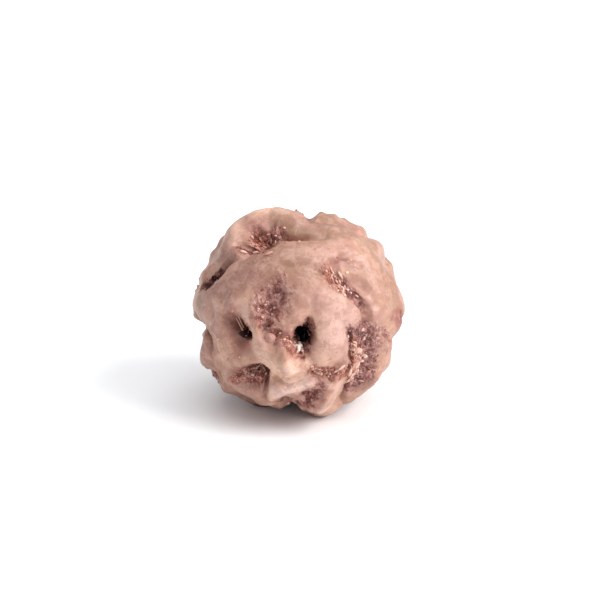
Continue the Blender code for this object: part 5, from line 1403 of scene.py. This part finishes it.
class SkinLook(bpy.types.PropertyGroup):
    """Sizes and colours of the skin."""

    subdivisions: IntProperty(name="Subdivisions", description="Splits of the ball that is sculpted", default=7)
    finer_from: FloatProperty(
        name="Finer from", description="Roughness of the ground from which it is split once more", default=0.3
    )
    grain_size: length("Grain size", "Size of the crumbs of the rough ground", 0.45 * MM)
    grain_height: length("Grain height", "How far the crumbs stand up", 0.26 * MM)
    glow: FloatProperty(name="Glow", description="Share of light that passes through the wax", default=0.12)
    rose: colour("Rose", "The smooth skin's pinker part", (0.412, 0.217, 0.170))
    tan: colour("Tan", "The smooth skin's tanner part", (0.438, 0.241, 0.157))
    cream: colour("Cream", "The lightest, yellowest skin", (0.74, 0.47, 0.345))
    # also the colour of the painted glints
    pale: colour("Pale", "The milky bloom", (0.575, 0.352, 0.300))
    milky: colour("Milky", "The pinkest, whitest bloom", (0.74, 0.52, 0.45))
    # a stain of the grooves, and painted shade at the foot gap, under the knob and along the lower rim
    olive_and_shade: colour("Olive", "The brownish stain of the grooves", (0.25, 0.135, 0.080))
    # also laid deeper in the hollows, partly as painted shade
    ruddy: colour("Ruddy", "The red-brown flush round the pits", (0.25, 0.075, 0.052))
    # mauve-brown mottling, and painted shade under overhangs and in gaps
    mauve_and_shade: colour("Dusk", "The mauve-brown shade of the troughs", (0.27, 0.128, 0.097))
    # painted shade of the shaded pits, gaps and creases
    painted_shade: colour("Umber", "The brown of shaded hollows", (0.115, 0.042, 0.030))
    speck: colour("Speck", "The small brown specks", (0.20, 0.085, 0.060))
    mauve: colour("Mauve", "The crumbly ground", (0.265, 0.095, 0.082))
    pale_mauve: colour("Pale mauve", "The lighter crumbs", (0.50, 0.272, 0.238))
    rust: colour("Rust", "The rusty crumbly ground", (0.34, 0.095, 0.062))
    pale_rust: colour("Pale rust", "The lighter rusty crumbs", (0.56, 0.265, 0.200))
    # painted shade between the crumbs
    gap: colour("Gap", "Between the crumbs", (0.130, 0.037, 0.032))
    # painted highlights on the tops of the crumbs
    bright_crumb: colour("Bright crumb", "The lightest crumbs", (0.62, 0.390, 0.330))
    # painted shade on the floor of the deep holes
    hole_shade: colour("Hole", "The floor of the deep holes", (0.034, 0.010, 0.008))


class FibreLook(bpy.types.PropertyGroup):
    """Counts and colours of the fibres, chips, grains and beads."""

    back_fibres: IntProperty(name="Back fibres", description="Fibres over the sides and back", default=900)
    grains: IntProperty(name="Grains", description="Loose-looking grains of the crumbly ground", default=1500)
    grain_radius: length("Grain radius", "Middling radius of a grain", 0.075 * MM)
    dark_mauve: colour("Dark mauve", "The darkest mauve fibre", (0.24, 0.090, 0.080))
    light_mauve: colour("Light mauve", "The lightest mauve fibre", (0.65, 0.420, 0.380))
    dark_rust: colour("Dark rust", "The darkest rusty fibre", (0.32, 0.085, 0.055))
    light_rust: colour("Light rust", "The lightest rusty fibre", (0.72, 0.460, 0.360))
    white: colour("White", "The whitest chips", (0.92, 0.78, 0.70))
    rub: colour("Rub", "The rubbed streaks", (0.36, 0.135, 0.095))


class StageLook(bpy.types.PropertyGroup):
    """The table, the light and the camera."""

    floor: colour("Floor", "The pale table", (0.93, 0.93, 0.935))
    sky_strength: FloatProperty(name="Sky strength", description="The even studio light", default=0.58)
    key_power: FloatProperty(
        name="Key power", description="The large soft light, in watts", default=3.0, subtype="POWER"
    )
    top_power: FloatProperty(
        name="Top power", description="The wide light overhead, in watts", default=2.2, subtype="POWER"
    )
    key_size: length("Key size", "The soft light's side", 0.34)
    key_turn: angle("Key turn", "Where the soft light stands, round from the front", 68)
    key_rise: angle("Key rise", "How high the soft light stands", 36)
    key_distance: length("Key distance", "From the seed to the soft light", 0.5)
    lens: FloatProperty(name="Lens", description="The camera's focal length, in millimetres", default=255.6)
    camera_distance: length("Camera distance", "From the seed to the camera", 0.4)


def toward_from(turn, rise):
    """A direction, turned round from the front and raised above the horizon."""
    return Vector((math.sin(turn) * math.cos(rise), -math.cos(turn) * math.cos(rise), math.sin(rise)))


def aim(obj, target, direction, distance):
    """Stands the object off the target and points it there."""
    obj.location = target + direction * distance
    obj.rotation_euler = direction.to_track_quat("Z", "Y").to_euler()
    bpy.context.scene.collection.objects.link(obj)


def plain_floor(look):
    """The pale table, which belongs to the stage."""
    shape = bmesh.new()
    bmesh.ops.create_grid(shape, x_segments=8, y_segments=8, size=0.6)
    mesh = bpy.data.meshes.new("table")
    shape.to_mesh(mesh)
    shape.free()
    paint = Paint("pale_table")
    shade = paint.noise(0.05, 2.0)
    tone = paint.mix(shade.step(0.2, 0.8) * 0.04, look.floor, (0.80, 0.80, 0.81, 1.0))
    mesh.materials.append(paint.finish({"Base Color": tone, "Roughness": 0.7, "Specular IOR Level": 0.2}))
    floor = bpy.data.objects.new("table", mesh)
    bpy.context.scene.collection.objects.link(floor)


def soft_light(name, size, power, target, direction, distance):
    """A square lamp that points at the target."""
    lamp = bpy.data.lights.new(name, "AREA")
    lamp.size = size
    lamp.energy = power
    aim(bpy.data.objects.new(name, lamp), target, direction, distance)


SKY = (0.93, 0.965, 1.0, 1.0)
OVERHEAD_SIZE = 0.6         # the overhead light's side, in metres
OVERHEAD_DISTANCE = 0.6     # and how far up it hangs
SENSOR = 36.0               # the camera's sensor width, in millimetres
VIEW_SHIFT = (0.14, 1.08)   # where the camera points, across and up from the middle, in millimetres


def light_and_camera(look):
    """The even sky, the soft light at the side, the wide one overhead and the camera."""
    middle = Vector(bpy.data.objects["seed_skin"]["middle"])
    scene = bpy.context.scene
    scene.world = bpy.data.worlds.new("studio")
    scene.world.use_nodes = True
    sky = scene.world.node_tree.nodes["Background"]
    sky.inputs["Color"].default_value = SKY
    sky.inputs["Strength"].default_value = look.sky_strength
    aside = toward_from(look.key_turn, look.key_rise)
    soft_light("key", look.key_size, look.key_power, middle, aside, look.key_distance)
    soft_light("overhead", OVERHEAD_SIZE, look.top_power, middle, Vector((0.0, 0.0, 1.0)), OVERHEAD_DISTANCE)
    lens = bpy.data.cameras.new("camera")
    lens.lens = look.lens
    lens.sensor_width = SENSOR
    camera = bpy.data.objects.new("camera", lens)
    toward, right, high = front_axes()
    target = middle + (right * VIEW_SHIFT[0] + high * VIEW_SHIFT[1]) * MM
    aim(camera, target, toward, look.camera_distance)
    scene.camera = camera
    scene.view_settings.view_transform = "Standard"


class RUDRAKSHA_OT_skin(bpy.types.Operator):
    """Build the folded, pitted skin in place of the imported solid"""

    bl_idname = "rudraksha.skin"
    bl_label = "Skin"

    def execute(self, context):
        build_skin(context.scene.rudraksha_skin)
        return {"FINISHED"}


class RUDRAKSHA_OT_fibres(bpy.types.Operator):
    """Plant the woody fibres of the pits and troughs"""

    bl_idname = "rudraksha.fibres"
    bl_label = "Fibres"

    def execute(self, context):
        plant_fibres(context.scene.rudraksha_fibres)
        return {"FINISHED"}


class RUDRAKSHA_OT_chips(bpy.types.Operator):
    """Plant the bright chips and the strands across the holes"""

    bl_idname = "rudraksha.chips"
    bl_label = "Chips and Strands"

    def execute(self, context):
        plant_chips(context.scene.rudraksha_fibres)
        plant_strands(context.scene.rudraksha_fibres)
        return {"FINISHED"}


class RUDRAKSHA_OT_grains(bpy.types.Operator):
    """Plant the grains and the round beads"""

    bl_idname = "rudraksha.grains"
    bl_label = "Grains and Beads"

    def execute(self, context):
        plant_grains(context.scene.rudraksha_fibres)
        plant_beads(context.scene.rudraksha_fibres)
        return {"FINISHED"}


class RUDRAKSHA_OT_stage(bpy.types.Operator):
    """Lay the plain table, the soft light and the camera"""

    bl_idname = "rudraksha.stage"
    bl_label = "Stage"

    def execute(self, context):
        plain_floor(context.scene.rudraksha_stage)
        light_and_camera(context.scene.rudraksha_stage)
        return {"FINISHED"}


OPERATORS = (
    RUDRAKSHA_OT_skin,
    RUDRAKSHA_OT_fibres,
    RUDRAKSHA_OT_chips,
    RUDRAKSHA_OT_grains,
    RUDRAKSHA_OT_stage,
)


class RUDRAKSHA_PT_panel(bpy.types.Panel):
    """The seed's pieces and their settings"""

    bl_idname = "RUDRAKSHA_PT_panel"
    bl_label = "Rudraksha Seed"
    bl_space_type = "VIEW_3D"
    bl_region_type = "UI"
    bl_category = "Rudraksha"

    def draw(self, context):
        for operator in OPERATORS:
            self.layout.operator(operator.bl_idname)
        for look in ("rudraksha_skin", "rudraksha_fibres", "rudraksha_stage"):
            settings = getattr(context.scene, look)
            box = self.layout.box()
            box.label(text=look.replace("_", " ").title())
            for name in settings.__annotations__:
                box.prop(settings, name)


CLASSES = (SkinLook, FibreLook, StageLook, *OPERATORS, RUDRAKSHA_PT_panel)


def register():
    noise.seed_set(SEED)        # the clock would seed the noise vectors otherwise
    for made in CLASSES:
        bpy.utils.register_class(made)
    bpy.types.Scene.rudraksha_skin = PointerProperty(type=SkinLook)
    bpy.types.Scene.rudraksha_fibres = PointerProperty(type=FibreLook)
    bpy.types.Scene.rudraksha_stage = PointerProperty(type=StageLook)


def unregister():
    del bpy.types.Scene.rudraksha_stage
    del bpy.types.Scene.rudraksha_fibres
    del bpy.types.Scene.rudraksha_skin
    for made in reversed(CLASSES):
        bpy.utils.unregister_class(made)


def main():
    register()
    bpy.ops.rudraksha.skin()
    bpy.ops.rudraksha.fibres()
    bpy.ops.rudraksha.chips()
    bpy.ops.rudraksha.grains()
    bpy.ops.rudraksha.stage()


if __name__ == "__main__":
    main()
